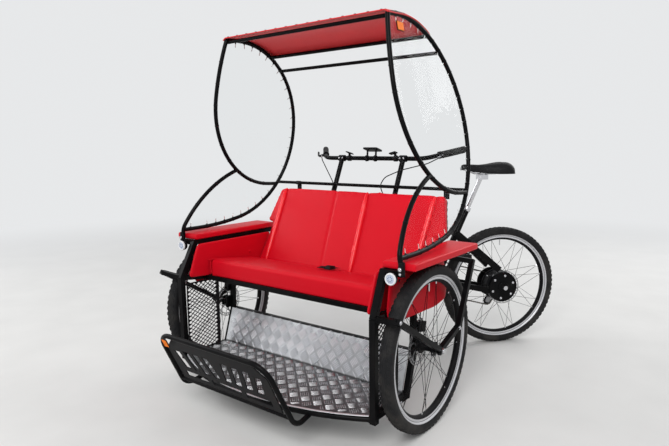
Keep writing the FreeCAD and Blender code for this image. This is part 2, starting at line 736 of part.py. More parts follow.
side_window = window()
cross = Part.makeCompound([rod((-hoop_x_at(z), y, z), (hoop_x_at(z), y, z), size.bar_radius)
                           for y, z in CROSSBARS])
for name, side in SIDES:
    base = (f"{side} * sizes.hoop_x - sizes.origin_x", POD[1], "sizes.hoop_z")
    turn = f"{-side} * sizes.hoop_lean"
    solid(f"hoop_{name}", upright_hoop, base, turn, Y_AXIS)
    solid(f"window_{name}", side_window, base, turn, Y_AXIS)
    cross = cross.cut(leant(upright_hoop, side)).cut(leant(side_window, side))
solid("canopy_bars", cross)

COVER = ((-70, 1626.55), (82, 1634.95), (262, 1585.45))  # (y, z) of the cover's underside: front, crest, rear
(front_y, front_z), (crest_y, crest_z), (rear_y, rear_z) = COVER
lift = size.cover_thickness
cover = padded_body("canopy_cover", "YZ_Plane", [
    (front_y, front_z), (crest_y, crest_z, rear_y, rear_z), (rear_y + 1, rear_z + lift),
    (crest_y, crest_z + lift, front_y, front_z + lift)], "2 * sizes.cover_half_width")
place(cover, POD)


# ---- pod: lamps, handlebar and axles ----

for name, side in SIDES:
    lamp = turned_body(f"headlight_{name}", [(0, 0), (0, 21), (4, 23), (18, 22), (29, 14), (29, 0)])
    place(lamp, (f"{side * 584} - sizes.origin_x", "-262 - sizes.origin_y", "658"), "90")


def handlebar():
    radius = size.grip_bar_radius
    half = [(-436, 681, 1108), (-300, 510, 1062)]
    path = bent_path(half + mirrored(half), 90)
    shapes = [tube(path, radius)]
    for side in (1, -1):
        shapes.append(rod((side * 187, 256, seat_low), (side * 187, 505, 1062), size.post_radius))
    return fused(shapes)


GRIP_END = Vector(436, 681, 1108)
GRIP_WAY = (GRIP_END - Vector(300, 510, 1062)).normalize()


def grips():
    """Both grips, sleeved over the ends of the handlebar."""
    inner = GRIP_END - GRIP_WAY * size.grip_length
    return Part.makeCompound([
        sleeve((side * inner.x, inner.y, inner.z), (side * GRIP_END.x, GRIP_END.y, GRIP_END.z),
               size.grip_radius, size.grip_bar_radius) for side in (1, -1)])


def brake_levers():
    """A clamp and a blade ahead of each grip."""
    shapes = []
    ahead = Vector(GRIP_WAY.y, -GRIP_WAY.x, -0.25).normalize()
    clamp = GRIP_END - GRIP_WAY * (size.grip_length + 22)
    clamp_end = clamp + GRIP_WAY * 16
    elbow = clamp + GRIP_WAY * 8 + ahead * 40
    tip = elbow + GRIP_WAY * 118 + ahead * 6
    root = clamp + GRIP_WAY * 8 + ahead * (size.grip_bar_radius + 2)
    for side in (1, -1):
        points = [(side * p.x, p.y, p.z) for p in (clamp, clamp_end, root, elbow, tip)]
        ring = sleeve(*points[:2], size.grip_radius + 2, size.grip_bar_radius)
        shapes.append(fused([ring, tube(bent_path(points[2:], 18), 5)]))
    return Part.makeCompound(shapes)


def display():
    """A flat display that stands on two arms above the handlebar."""
    plate = Part.makeBox(88, 58, 9, Vector(-44, -29, 42))
    shapes = [shifted(plate, turn=-16)]
    for x in (-26, 26):
        shapes.append(sleeve((x - 6, 0, 0), (x + 6, 0, 0), size.grip_bar_radius + 5, size.grip_bar_radius))
        shapes.append(Part.makeBox(8, 12, 30, Vector(x - 4, 0, size.grip_bar_radius + 3)))
    return shifted(fused(shapes), -6, 510, 1062)


levers = brake_levers()
solid("handlebar", handlebar().cut(seat_rails))
solid("grips", grips())
solid("brake_levers", levers)
solid("display", display())


def front_axle(side):
    """The fixed axle from the floor frame's lug out to the wheel guard, with its nut."""
    start = side * (size.rail_x + size.rail_width / 2 + size.lug_thickness)
    end = side * (size.guard_x + size.guard_width / 2)
    z = size.wheel_radius
    nut = rod((end, 0, z), (end + side * 9, 0, z), 11)
    return fused([rod((start, 0, z), (end + side * 9, 0, z), size.axle_radius), nut])


def caliper(disc_x, out_x, disc_radius, angle, hub_y, hub_z):
    """A brake caliper over a disc's edge, which out_x joins to what carries it."""
    inner = disc_radius - 24
    low = min(disc_x - 10, out_x)
    high = max(disc_x + 10, out_x)
    block = Part.makeBox(high - low, 56, 42, Vector(low, -28, inner))
    slot = Part.makeBox(6, 60, 30, Vector(disc_x - 3, -30, inner - 1))
    block = block.cut(slot)
    block = shifted(block, turn=angle)
    return shifted(block, y=hub_y, z=hub_z)


calipers = []
for name, side in SIDES:
    solid(f"front_axle_{name}", front_axle(side))
    disc_x = side * (size.half_track - 43)
    carrier_x = side * (size.rail_x + size.rail_width / 2)
    calipers.append(caliper(disc_x, carrier_x, size.disc_radius, -12, 0, size.wheel_radius))
    solid(f"brake_caliper_{name}", calipers[-1])


def brake_cables():
    """The front brakes' cables: lever, handlebar post, back rail, side rail, caliper."""
    reach = size.cable_radius + 0.03
    beside = 187 + size.post_radius + reach
    behind = size.seat_back_y + size.rail_width / 2 + reach
    under = size.seat_z - size.rail_width / 2 - reach
    lever = (371.5, 558.5, 1072.8)
    over = [(330, 490, 1040), (224, 420, 1009), (150, 395, 975), (104, 420, 931), (125, 425, 880),
            (150, 405, 800), (187, 379, 708), (205, 315.3, 640)]
    straight = [(352, 540, 1050), (beside, on_post(930), 930)]
    lower = [(beside, on_post(600), 600), (245, 283, 545), (245, behind, 492), (500, behind, 480),
             (size.rail_x, 262, 462), (size.rail_x, 225, under), (size.rail_x, 110, under),
             (536, 60, 470), (549, 30, 440), (552, 24, 425)]
    shapes = []
    for side, upper in ((1, over), (-1, straight)):
        path = [(side * x, y, z) for x, y, z in [lever] + upper + lower]
        shapes.append(tube(bent_path(path, 45), size.cable_radius))
    return Part.makeCompound(shapes)


def on_post(z):
    """How far back a handlebar post's axis is at a height."""
    return 256 + (z - seat_low) * (505 - 256) / (1062 - seat_low)


solid("brake_cables", brake_cables().cut(levers).cut(calipers[0]).cut(calipers[1]))


# ---- rear frame ----

def rear_frame():
    crank = (size.crank_y, size.crank_z)
    shell = rod((-34, *crank), (34, *crank), 21)
    seat_tube = rod((0, *crank), (0, 479, 768), 17)
    head = rod((0, 0, 392), (0, 0, 508), 25)
    main = rod((0, 0, 450), (0, 335, 445), 24)
    shapes = [shell, seat_tube, head, main]
    for side in (1, -1):
        shapes.append(bar((side * 22, 420, 640), (side * 72, 648, 440), 12, 6, 36))
        shapes.append(bar((side * 40, 335, 380), (side * 72, 650, 308), 11, 4, 30))
        shapes.append(rod((side * 68, 676, 338), (side * 76, 676, 338), 84))
    shapes.append(bar((-40, 338, 379), (40, 338, 379), 26))
    shapes.append(bar((-24, 424, 638), (24, 424, 638), 26))
    cuts = [rod((0, 0, 380), (0, 0, 520), size.kingpin_radius + size.axle_gap),
            rod((-50, *crank), (50, *crank), 12 + size.axle_gap),
            rod((-90, size.rear_reach, size.wheel_radius), (90, size.rear_reach, size.wheel_radius),
                size.axle_radius)]
    return fused(shapes).cut(Part.makeCompound(cuts))


solid("rear_frame", rear_frame(), REAR, STEER)
rear_hub = (size.rear_reach, size.wheel_radius)
axle = rod((-84, *rear_hub), (84, *rear_hub), size.axle_radius)
solid("rear_axle", fused([axle, rod((-88, *rear_hub), (-76, *rear_hub), 12),
                          rod((76, *rear_hub), (88, *rear_hub), 12)]), REAR, STEER)

crank_circle = (size.crank_y, size.crank_z, 91)
hub_circle = (size.rear_reach, size.wheel_radius, 44)
jockey_circle = (652, 226, 20)
LOOP = (crank_circle, jockey_circle, hub_circle)


def chain():
    band = Part.makeFace([belt(LOOP, 9), belt(LOOP)], "Part::FaceMakerBullseye")
    return shifted(band.extrude(Vector(size.chain_width, 0, 0)), x=-size.chain_x - size.chain_width / 2)


def derailleur():
    """The jockey wheel and its cage, hung from the right dropout."""
    y, z, radius = jockey_circle
    x = -size.chain_x
    wheel = rod((x - 3, y, z), (x + 3, y, z), radius)
    pin = rod((x - 20, y, z), (x + 3, y, z), 5)
    cage = bar((x - 18, y, z), (x - 18, 684, 272), 4, 8, 20)
    return fused([wheel, pin, cage])


solid("chain", chain(), REAR, STEER)
solid("derailleur", derailleur(), REAR, STEER)
solid("brake_caliper_rear", caliper(58, 68, size.motor_radius + 14, 65, *rear_hub), REAR, STEER)


def saddle():
    """A ruled loft through sections from nose to rear."""
    rows = (  # y, z of the top, half width, depth
        (441, 1018, 18, 26),
        (520, 1016, 30, 34),
        (610, 1024, 62, 40),
        (680, 1034, 84, 44),
        (735, 1036, 70, 40),
    )
    sections = []
    for y, z, half, depth in rows:
        corners = [(-half, z - depth), (-half, z - depth * 0.35), (-half * 0.6, z), (half * 0.6, z),
                   (half, z - depth * 0.35), (half, z - depth), (-half, z - depth)]
        sections.append(Part.makePolygon([Vector(a, y, b) for a, b in corners]))
    return Part.makeLoft(sections, True, True)


def seat_post():
    """The post, its clamp and the two rails under the saddle."""
    shapes = [rod((0, 479, 768), (0, 558.1, 945), 13.6),
              Part.makeBox(60, 44, 26, Vector(-30, 546, 938)),
              Part.makeBox(60, 44, 8, Vector(-30, 546, 972))]
    for side in (1, -1):
        x = side * 22
        rail = [(x * 0.5, 478, 990), (x, 530, 968), (x, 640, 968), (x, 694, 1000)]
        shapes.append(tube(bent_path(rail, 30), 3.5))
        shapes.append(rod((x, 568, 940), (x, 568, 984), 4))
    return fused(shapes)


saddle_shell = saddle()
solid("saddle", saddle_shell, REAR, STEER)
solid("seat_post", seat_post().cut(saddle_shell), REAR, STEER)


# ---- cranks ----

def crankset():
    """Axle, chainring and both arms about the cranks' axle, upright."""
    arm = size.crank_length
    x = 85
    ring_x = -size.chain_x
    ring = rod((ring_x - 2, 0, 0), (ring_x + 2, 0, 0), 89)
    for i in range(5):
        centre = Rotation(X_AXIS, 72 * i).multVec(Vector(0, 0, 52))
        ring = ring.cut(rod((ring_x - 3, centre.y, centre.z), (ring_x + 3, centre.y, centre.z), 19))
    shapes = [rod((-92, 0, 0), (92, 0, 0), 12), ring]
    for side in (1, -1):
        shapes.append(bar((side * x, 0, 0), (side * x, 0, side * arm), 14, 12, 24))
        shapes.append(rod((side * (x - 6), 0, side * arm), (side * 200, 0, side * arm), 5))
    return shifted(fused(shapes), turn=-size.crank_turn)


solid("crankset", crankset(), CRANK_AXLE, STEER)

PEDAL = (100, 195, 90, 24)  # inner and outer distance from the middle, length, height
for name, side in SIDES:
    inner, outer, length, height = PEDAL
    corner = Vector(min(side * inner, side * outer), -length / 2, -height / 2)
    block = Part.makeBox(outer - inner, length, height, corner)
    for hole_y in (-length / 2 + 10, 14):
        block = block.cut(Part.makeBox(outer - inner - 24, 22, 2 * height,
                                       Vector(min(side * inner, side * outer) + 12, hole_y, -height)))
    block = block.cut(rod((side * 90, 0, 0), (side * 210, 0, 0), 5 + size.axle_gap))
    sine = f"{side} * sin(sizes.crank_turn) * sizes.crank_length"
    cosine = f"{side} * cos(sizes.crank_turn) * sizes.crank_length"
    where = along_rear(f"(sizes.crank_y + {sine})", f"sizes.crank_z + {cosine}")
    solid(f"pedal_{name}", block, where, STEER)


def finish():
    """Checks every object and writes one STEP file for each piece."""
    doc.recompute()
    for item in doc.Objects:
        if "Invalid" in item.State or "Error" in item.State:
            raise RuntimeError(f"{item.Label} failed: {item.State}")
    os.makedirs("parts", exist_ok=True)
    for piece in pieces:
        if piece.Shape.isNull() or not piece.Shape.isValid():
            raise RuntimeError(f"{piece.Label} has no valid shape")
    for piece in pieces:
        piece.Shape.exportStep(os.path.join("parts", piece.Label + ".step"))


finish()
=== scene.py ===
"""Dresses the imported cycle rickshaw: upholstery, canopy, clear sides, tyres, wheels, tread plate, small
fittings and finishes. Lengths are metres in the shared frame: X the vehicle's left, Y rearwards, Z up."""

import json
import math

import bmesh
import bpy
from bpy.props import FloatProperty, FloatVectorProperty, IntProperty, PointerProperty
from mathutils import Matrix, Vector, noise


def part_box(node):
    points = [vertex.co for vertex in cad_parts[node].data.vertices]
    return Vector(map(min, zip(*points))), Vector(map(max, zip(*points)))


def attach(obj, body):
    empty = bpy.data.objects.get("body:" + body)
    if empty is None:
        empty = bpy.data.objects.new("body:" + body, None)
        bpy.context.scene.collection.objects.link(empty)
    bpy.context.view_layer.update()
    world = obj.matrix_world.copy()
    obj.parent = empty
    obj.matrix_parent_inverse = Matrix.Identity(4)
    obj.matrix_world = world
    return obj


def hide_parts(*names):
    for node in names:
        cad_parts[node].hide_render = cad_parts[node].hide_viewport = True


bl_info = {
    "name": "Cycle rickshaw finish",
    "version": (1, 0, 0),
    "blender": (4, 5, 0),
    "location": "3D View > Sidebar > Rickshaw",
    "description": "Builds the visible finish of a front-loading cycle rickshaw on its packed frame",
    "category": "Add Mesh",
}

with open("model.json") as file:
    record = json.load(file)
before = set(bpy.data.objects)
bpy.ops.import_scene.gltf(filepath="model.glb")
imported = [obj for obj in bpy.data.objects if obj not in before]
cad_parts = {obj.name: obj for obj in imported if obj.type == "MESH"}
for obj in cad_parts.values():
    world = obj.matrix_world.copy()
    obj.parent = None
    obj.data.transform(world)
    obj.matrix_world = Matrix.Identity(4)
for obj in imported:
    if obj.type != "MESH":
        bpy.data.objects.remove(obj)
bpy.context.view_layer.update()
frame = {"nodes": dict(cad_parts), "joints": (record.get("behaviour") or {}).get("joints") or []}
NODES = frame["nodes"]
SIDES = (("left", 1), ("right", -1))
CORNERS = ((-1, -1), (1, -1), (1, 1), (-1, 1))


def middle(name):
    low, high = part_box(name)
    return (low + high) / 2


def joint(name):
    return next(j for j in frame["joints"] if j["name"] == name)


# The pod's own point is on the ground under the front axle, and the rear frame's is the kingpin.
POD = (middle("tyre_front_left") + middle("tyre_front_right")) / 2
POD.z = 0.0
KINGPIN = Vector(joint("steering")["pos_m"])
AXLE_WAY = Vector(joint("rear_spin")["axis"])
REAR_WAY = Vector((-AXLE_WAY.y, AXLE_WAY.x, 0))
AXLE_Z = middle("tyre_front_left").z
TYRE_RADIUS = AXLE_Z


def pod(x, y, z):
    """A point from its place in the pod: left of the middle, behind the front axle, above the ground."""
    return Vector((POD.x + x, POD.y + y, z))


def rear(x, reach, z):
    """A point on the turned rear frame: left of its middle plane, behind the kingpin, above the ground."""
    return Vector((KINGPIN.x, KINGPIN.y, 0)) + AXLE_WAY * x + REAR_WAY * reach + Vector((0, 0, z))


def basis(x_way, y_way, origin):
    """A matrix whose X and Y columns follow the two directions."""
    x = Vector(x_way).normalized()
    z = x.cross(Vector(y_way)).normalized()
    y = z.cross(x)
    m = Matrix((x, y, z)).transposed().to_4x4()
    m.translation = origin
    return m


REAR_TURN = basis(AXLE_WAY, REAR_WAY, (0, 0, 0)).to_3x3()


def turned(origin):
    """A matrix along the rear frame's own directions."""
    m = REAR_TURN.to_4x4()
    m.translation = origin
    return m


# ---- settings ----

class RickshawColours(bpy.types.PropertyGroup):
    """Colours of the finishes"""

    vinyl: FloatVectorProperty(
        name="Upholstery", description="Red of the seat, armrests and side panels", subtype="COLOR",
        size=3, default=(0.60, 0.004, 0.014), min=0, max=1)
    canopy: FloatVectorProperty(
        name="Canopy cloth", description="Red of the roof's cloth", subtype="COLOR",
        size=3, default=(0.68, 0.006, 0.012), min=0, max=1)
    paint: FloatVectorProperty(
        name="Frame paint", description="Black of the tubes", subtype="COLOR",
        size=3, default=(0.0035, 0.0035, 0.004), min=0, max=1)
    rubber: FloatVectorProperty(
        name="Tyre rubber", description="Grey-black of the tyres", subtype="COLOR",
        size=3, default=(0.016, 0.016, 0.017), min=0, max=1)
    alloy: FloatVectorProperty(
        name="Tread plate", description="Bare metal of the floor", subtype="COLOR",
        size=3, default=(0.62, 0.63, 0.65), min=0, max=1)
    floor: FloatVectorProperty(
        name="Studio floor", description="Pale floor under the vehicle", subtype="COLOR",
        size=3, default=(0.72, 0.71, 0.69), min=0, max=1)


class RickshawSizes(bpy.types.PropertyGroup):
    """Sizes of the parts that a user may want to change"""

    ridge: FloatProperty(
        name="Seat ridge", description="Radius of the sewn ridges on the backrest", subtype="DISTANCE",
        unit="LENGTH", default=0.0125, min=0.002, max=0.02)
    puff: FloatProperty(
        name="Cushion puff", description="Largest swell of the upholstery", subtype="DISTANCE",
        unit="LENGTH", default=0.007, min=0.0, max=0.03)
    tread_pitch: FloatProperty(
        name="Floor tread square", description="Side of each square of raised bars", subtype="DISTANCE",
        unit="LENGTH", default=0.043, min=0.02, max=0.08)
    knob_count: IntProperty(
        name="Tyre blocks", description="Tread blocks round each tyre", default=76, min=30, max=120)
    tie_length: FloatProperty(
        name="Tie tail", description="How far a cut tie stands out from the hoop", subtype="DISTANCE",
        unit="LENGTH", default=0.020, min=0.002, max=0.04)


def colours():
    return bpy.context.scene.rickshaw_colours


def sizes():
    return bpy.context.scene.rickshaw_sizes


# ---- meshes ----

def spun(x, r, t):
    """A point about the X axis, from its place along it, its distance from it and its angle."""
    return Vector((x, -r * math.sin(t), r * math.cos(t)))


class Shell:
    """Points and faces on their way to becoming one piece."""

    def __init__(self):
        self.points = []
        self.faces = []
        self.paint = []

    def add(self, points, faces, paint=0):
        start = len(self.points)
        self.points += [Vector(p) for p in points]
        self.faces += [tuple(i + start for i in face) for face in faces]
        self.paint += [paint] * len(faces)
        return self

    def skin(self, rings, paint=0, closed=True, caps=True, loop=False):
        """Faces over rings of equal counts. A closed ring joins its own ends, and a loop joins
        the last ring to the first."""
        count = len(rings[0])
        points = [p for ring in rings for p in ring]
        faces = []
        spans = len(rings) if loop else len(rings) - 1
        for i in range(spans):
            j = (i + 1) % len(rings)
            for k in range(count if closed else count - 1):
                n = (k + 1) % count
                faces.append((i * count + k, i * count + n, j * count + n, j * count + k))
        if caps and closed and not loop:
            faces.append(tuple(range(count))[::-1])
            faces.append(tuple((len(rings) - 1) * count + k for k in range(count)))
        return self.add(points, faces, paint)

    def sweep(self, path, radius, sides=10, paint=0, loop=False, flat=1.0, up=None):
        """A tube along points. The radius may be one number or one for each point."""
        path = [Vector(p) for p in path]
        last = len(path) - 1
        rings = []
        side = None
        for i, here in enumerate(path):
            before = path[i - 1] if i or loop else here
            after = path[(i + 1) % len(path)] if i < last or loop else here
            way = (after - before).normalized()
            if side is None:
                guide = Vector(up) if up else (Vector((0, 0, 1)) if abs(way.z) < 0.9 else Vector((1, 0, 0)))
                side = way.cross(guide).normalized()
            side = (side - way * side.dot(way)).normalized()
            top = side.cross(way)
            r = radius[i] if isinstance(radius, (list, tuple)) else radius
            rings.append([here + (side * math.cos(t) + top * (math.sin(t) * flat)) * r
                          for t in (2 * math.pi * k / sides for k in range(sides))])
        return self.skin(rings, paint, loop=loop)

    def turn(self, profile, matrix=None, steps=48, paint=0, closed=False, start=0.0, arc=2 * math.pi):
        """A profile of (along, radius) turned about the matrix's X axis."""
        matrix = matrix or Matrix.Identity(4)
        whole = abs(arc - 2 * math.pi) < 1e-6
        rings = []
        for i in range(steps if whole else steps + 1):
            t = start + arc * i / steps
            rings.append([matrix @ spun(a, r, t) for a, r in profile])
        return self.skin(rings, paint, closed=closed, caps=False, loop=whole)

    def block(self, size, matrix, paint=0, taper=1.0):
        """A box about the matrix's origin, with its top (+Z) drawn in by taper."""
        x, y, z = (s / 2 for s in size)
        corners = [Vector((a * x * (taper if c > 0 else 1), b * y * (taper if c > 0 else 1), c * z))
                   for c in (-1, 1) for a, b in CORNERS]
        faces = [(3, 2, 1, 0), (4, 5, 6, 7), (0, 1, 5, 4), (1, 2, 6, 5), (2, 3, 7, 6), (3, 0, 4, 7)]
        return self.add([matrix @ c for c in corners], faces, paint)

    def bare(self, name):
        """A mesh object with outward faces that isn't tied to a body yet."""
        mesh = bpy.data.meshes.new(name)
        mesh.from_pydata(self.points, [], self.faces)
        work = bmesh.new()
        work.from_mesh(mesh)
        bmesh.ops.recalc_face_normals(work, faces=work.faces)
        work.to_mesh(mesh)
        work.free()
        made = bpy.data.objects.new(name, mesh)
        bpy.context.scene.collection.objects.link(made)
        return made

    def piece(self, name, finishes, body, slot=None, replaces=(), smooth=40, bevel=0.0, segments=2):
        made = self.bare(name)
        for which in finishes:
            made.data.materials.append(finish(which))
        made.data.polygons.foreach_set("material_index", self.paint)
        made.data.validate()
        return finish_piece(made, body, replaces, smooth, bevel, segments)


def finish_piece(piece, body, replaces=(), smooth=40, bevel=0.0, segments=2):
    """Shades a piece, bevels it, ties it to its body and hides the nodes that it stands for."""
    piece.data.shade_smooth()
    piece.data.set_sharp_from_angle(angle=math.radians(smooth))
    if bevel:
        edge = piece.modifiers.new("Bevel", "BEVEL")
        edge.width = bevel
        edge.segments = segments
        edge.limit_method = "ANGLE"
        edge.angle_limit = math.radians(35)
    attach(piece, body)
    if replaces:
        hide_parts(*replaces)
    return piece


def spline(points, count):
    """Evenly many points along a smooth curve through the given ones."""
    points = [Vector(p) for p in points]
    found = []
    spans = len(points) - 1
    for i in range(count):
        t = i / (count - 1) * spans
        k = min(int(t), spans - 1)
        u = t - k
        a = points[max(k - 1, 0)]
        b, c = points[k], points[k + 1]
        d = points[min(k + 2, spans)]
        found.append(0.5 * (2 * b + (c - a) * u + (2 * a - 5 * b + 4 * c - d) * u ** 2
                            + (3 * b - a - 3 * c + d) * u ** 3))
    return found


# ---- materials ----

def socket(tree, name, kind, out=False, value=None):
    made = tree.interface.new_socket(name=name, in_out="OUTPUT" if out else "INPUT", socket_type=kind)
    if value is not None:
        made.default_value = value
    return made


def feed(made, **links):
    """Sets a node's inputs, named with spaces as underscores or numbered i0, i1 and so on. Each takes
    a value or a socket to be fed from."""
    for key, value in links.items():
        numbered = key[0] == "i" and key[1:].isdigit()
        target = made.inputs[int(key[1:]) if numbered else key.replace("_", " ")]
        if isinstance(value, bpy.types.NodeSocket):
            made.id_data.links.new(value, target)
        else:
            target.default_value = value
    return made


def node(tree, kind, settings=None, **links):
    made = tree.nodes.new(kind)
    for key, value in (settings or {}).items():
        setattr(made, key, value)
    return feed(made, **links)


def new_group(name, inputs, outputs):
    """An empty shader group with its ends. Inputs are (name, kind, default), and outputs (name, kind)."""
    tree = bpy.data.node_groups.new(name, "ShaderNodeTree")
    for label, kind, value in inputs:
        socket(tree, label, kind, value=value)
    for label, kind in outputs:
        socket(tree, label, kind, out=True)
    return tree, tree.nodes.new("NodeGroupInput").outputs, tree.nodes.new("NodeGroupOutput").inputs


def math_node(tree, operation, a, b=0.0):
    return node(tree, "ShaderNodeMath", {"operation": operation}, i0=a, i1=b).outputs[0]


def place(tree):
    return tree.nodes.new("ShaderNodeTexCoord").outputs["Object"]


def clouds(tree, at, scale, detail, **more):
    """Noise between 0 and 1."""
    return node(tree, "ShaderNodeTexNoise", None, Vector=at, Scale=scale, Detail=detail, **more).outputs[0]


def times(tree, colour, by):
    """A colour made lighter or darker."""
    return node(tree, "ShaderNodeVectorMath", {"operation": "SCALE"}, i0=colour, Scale=by).outputs[0]


def times_plus(tree, a, b, c):
    return node(tree, "ShaderNodeMath", {"operation": "MULTIPLY_ADD"}, i0=a, i1=b, i2=c).outputs[0]


def remap(tree, value, *ends):
    """A value carried from one range to another. The ends are from low, from high, to low, to high."""
    ends = {f"i{i}": end for i, end in enumerate(ends, 1)}
    return node(tree, "ShaderNodeMapRange", None, Value=value, **ends).outputs[0]


def upward(tree, at):
    return node(tree, "ShaderNodeSeparateXYZ", None, Vector=at).outputs["Z"]


def blend(tree, share, first, second, end="Material Output"):
    """Shows a mix of two shaders."""
    mix = node(tree, "ShaderNodeMixShader", None, i0=share, i1=first.outputs[0], i2=second.outputs[0])
    tree.links.new(mix.outputs[0], tree.nodes[end].inputs["Surface"])


FLOAT, COLOUR = "NodeSocketFloat", "NodeSocketColor"


def grain_group():
    """Pebbled grain of coated cloth, with slow changes of tone and gloss."""
    tree, given, out = new_group("Pebble grain", (("Scale", FLOAT, 900.0), ("Colour", COLOUR, (0.5, 0, 0, 1)),
                                                  ("Mottle", FLOAT, 0.12)),
                                 (("Colour", COLOUR), ("Height", FLOAT), ("Gloss", FLOAT)))
    at = place(tree)
    cells = node(tree, "ShaderNodeTexVoronoi", {"feature": "SMOOTH_F1"}, Vector=at, Scale=given["Scale"])
    slow = clouds(tree, at, 6.0, 4.0)
    tree.links.new(cells.outputs["Distance"], out["Height"])
    tree.links.new(math_node(tree, "MULTIPLY", slow, 0.25), out["Gloss"])
    spread = times_plus(tree, slow, given["Mottle"], 1.0)
    shade = math_node(tree, "SUBTRACT", spread, math_node(tree, "MULTIPLY", given["Mottle"], 0.5))
    tree.links.new(times(tree, given["Colour"], shade), out["Colour"])
    return tree


def weave_group():
    """Plain weave of coated cloth."""
    tree, given, out = new_group("Plain weave",
                                 (("Threads", FLOAT, 900.0), ("Colour", COLOUR, (0.5, 0, 0, 1))),
                                 (("Colour", COLOUR), ("Height", FLOAT)))
    at = place(tree)
    waves = []
    for axis in ("X", "Y"):
        wave = node(tree, "ShaderNodeTexWave", {"bands_direction": axis}, Vector=at, Scale=given["Threads"],
                    Distortion=0.4)
        waves.append(wave.outputs["Fac"])
    height = math_node(tree, "MAXIMUM", waves[0], waves[1])
    shade = times_plus(tree, clouds(tree, at, 9.0, 3.0), 0.25, 0.87)
    tree.links.new(times(tree, given["Colour"], shade), out["Colour"])
    tree.links.new(height, out["Height"])
    return tree


def wear_group():
    """Road dust low down and in patches, and slight unevenness of a coated or moulded surface."""
    tree, given, out = new_group("Dust and unevenness",
                                 (("Colour", COLOUR, (0, 0, 0, 1)), ("Dust", FLOAT, 0.2),
                                                        ("Dust colour", COLOUR, (0.3, 0.27, 0.23, 1)),
                                                        ("Scale", FLOAT, 60.0)),
                                 (("Colour", COLOUR), ("Rough", FLOAT), ("Height", FLOAT)))
    at = place(tree)
    patch = clouds(tree, at, 14.0, 6.0)
    fine = clouds(tree, at, given["Scale"], 3.0)
    low = remap(tree, upward(tree, at), 0.9, 0.0, 0.15, 1.0)
    spots = remap(tree, patch, 0.42, 0.72, 0.0, 1.0)
    amount = math_node(tree, "MULTIPLY", math_node(tree, "MULTIPLY", low, spots), given["Dust"])
    mixed = node(tree, "ShaderNodeMix", {"data_type": "RGBA"}, Factor=amount, i6=given["Colour"],
                 i7=given["Dust colour"])
    tree.links.new(mixed.outputs[2], out["Colour"])
    tree.links.new(math_node(tree, "ADD", amount, math_node(tree, "MULTIPLY", patch, 0.15)), out["Rough"])
    tree.links.new(fine, out["Height"])
    return tree


GROUPS = {}


def group(name):
    """A shared group, built when first asked for."""
    makers = {"grain": grain_group, "weave": weave_group, "wear": wear_group}
    if name not in GROUPS:
        GROUPS[name] = makers[name]()
    return GROUPS[name]


def use(tree, name, **values):
    return node(tree, "ShaderNodeGroup", {"node_tree": group(name)}, **values)


def blank(name):
    """A material with its Principled shader."""
    material = bpy.data.materials.new(name)
    material.use_nodes = True
    shader = material.node_tree.nodes["Principled BSDF"]
    return material, material.node_tree, shader


def bump(tree, shader, height, strength, distance):
    made = node(tree, "ShaderNodeBump", None, Height=height, Strength=strength, Distance=distance)
    tree.links.new(made.outputs[0], shader.inputs["Normal"])


def rough_from(tree, shader, amount, base, spread=1.0):
    made = node(tree, "ShaderNodeMath", {"operation": "MULTIPLY_ADD", "use_clamp": True}, i0=amount,
                i1=spread, i2=base)
    tree.links.new(made.outputs[0], shader.inputs["Roughness"])


def coated(name, colour, rough, dust=0.15, scale=120.0, metallic=0.0, height=0.05, distance=0.0004, coat=0.0,
           ior=1.5, dust_colour=(0.3, 0.27, 0.23, 1)):
    """Painted, moulded or metal surfaces with dust and a slightly uneven skin."""
    material, tree, shader = blank(name)
    wear = use(tree, "wear", Colour=(*colour, 1), Dust=dust, Scale=scale, Dust_colour=dust_colour)
    feed(shader, Base_Color=wear.outputs["Colour"], Metallic=metallic, IOR=ior, Coat_Weight=coat,
         Coat_Roughness=0.12)
    rough_from(tree, shader, wear.outputs["Rough"], rough, 0.6)
    bump(tree, shader, wear.outputs["Height"], height, distance)
    return material


def upholstery(name, colour, rough, scale=1100.0, strength=0.22):
    """Grained coated cloth."""
    material, tree, shader = blank(name)
    grain = use(tree, "grain", Scale=scale, Colour=(*colour, 1), Mottle=0.1)
    feed(shader, Base_Color=grain.outputs["Colour"], IOR=1.2)
    rough_from(tree, shader, grain.outputs["Gloss"], rough, 0.5)
    bump(tree, shader, grain.outputs["Height"], strength, 0.0006)
    return material


def canopy_cloth():
    material, tree, shader = blank("Canopy cloth")
    weave = use(tree, "weave", Threads=1500.0, Colour=(*colours().canopy, 1))
    feed(shader, Base_Color=weave.outputs["Colour"], Roughness=0.75, Sheen_Weight=0.2)
    bump(tree, shader, weave.outputs["Height"], 0.2, 0.0004)
    return material


def clear_sheet():
    """Clear flexible window sheet with faint smears and creases."""
    material, tree, shader = blank("Clear window sheet")
    at = place(tree)
    feed(shader, Base_Color=(0.96, 0.97, 0.97, 1), Transmission_Weight=1.0, IOR=1.05)
    rough_from(tree, shader, clouds(tree, at, 5.0, 5.0, Distortion=1.5), 0.0, 0.03)
    bump(tree, shader, clouds(tree, at, 7.0, 2.0, Distortion=2.0), 0.12, 0.02)
    through = node(tree, "ShaderNodeBsdfTransparent", None, Color=(0.93, 0.95, 0.96, 1))
    path = tree.nodes.new("ShaderNodeLightPath")
    blend(tree, path.outputs["Is Shadow Ray"], shader, through)
    return material


def tread_plate():
    """Bare sheet metal, with painted shade on the level floor and a painted highlight on the riser."""
    material = coated("Tread plate", colours().alloy, 0.24, dust=0.25, scale=60.0, metallic=1.0, height=0.1,
                      distance=0.001, dust_colour=(0.16, 0.15, 0.14, 1))
    tree = material.node_tree
    shader = tree.nodes["Principled BSDF"]
    bare = shader.inputs["Base Color"].links[0].from_socket
    # Painted light: the colour is scaled by height, down to 0.26 on the level floor as painted shade and up
    # to 1.15 on the riser as a painted highlight.
    shade = remap(tree, upward(tree, place(tree)), 0.147, 0.153, 0.26, 1.15)
    feed(shader, Base_Color=times(tree, bare, shade))
    return material


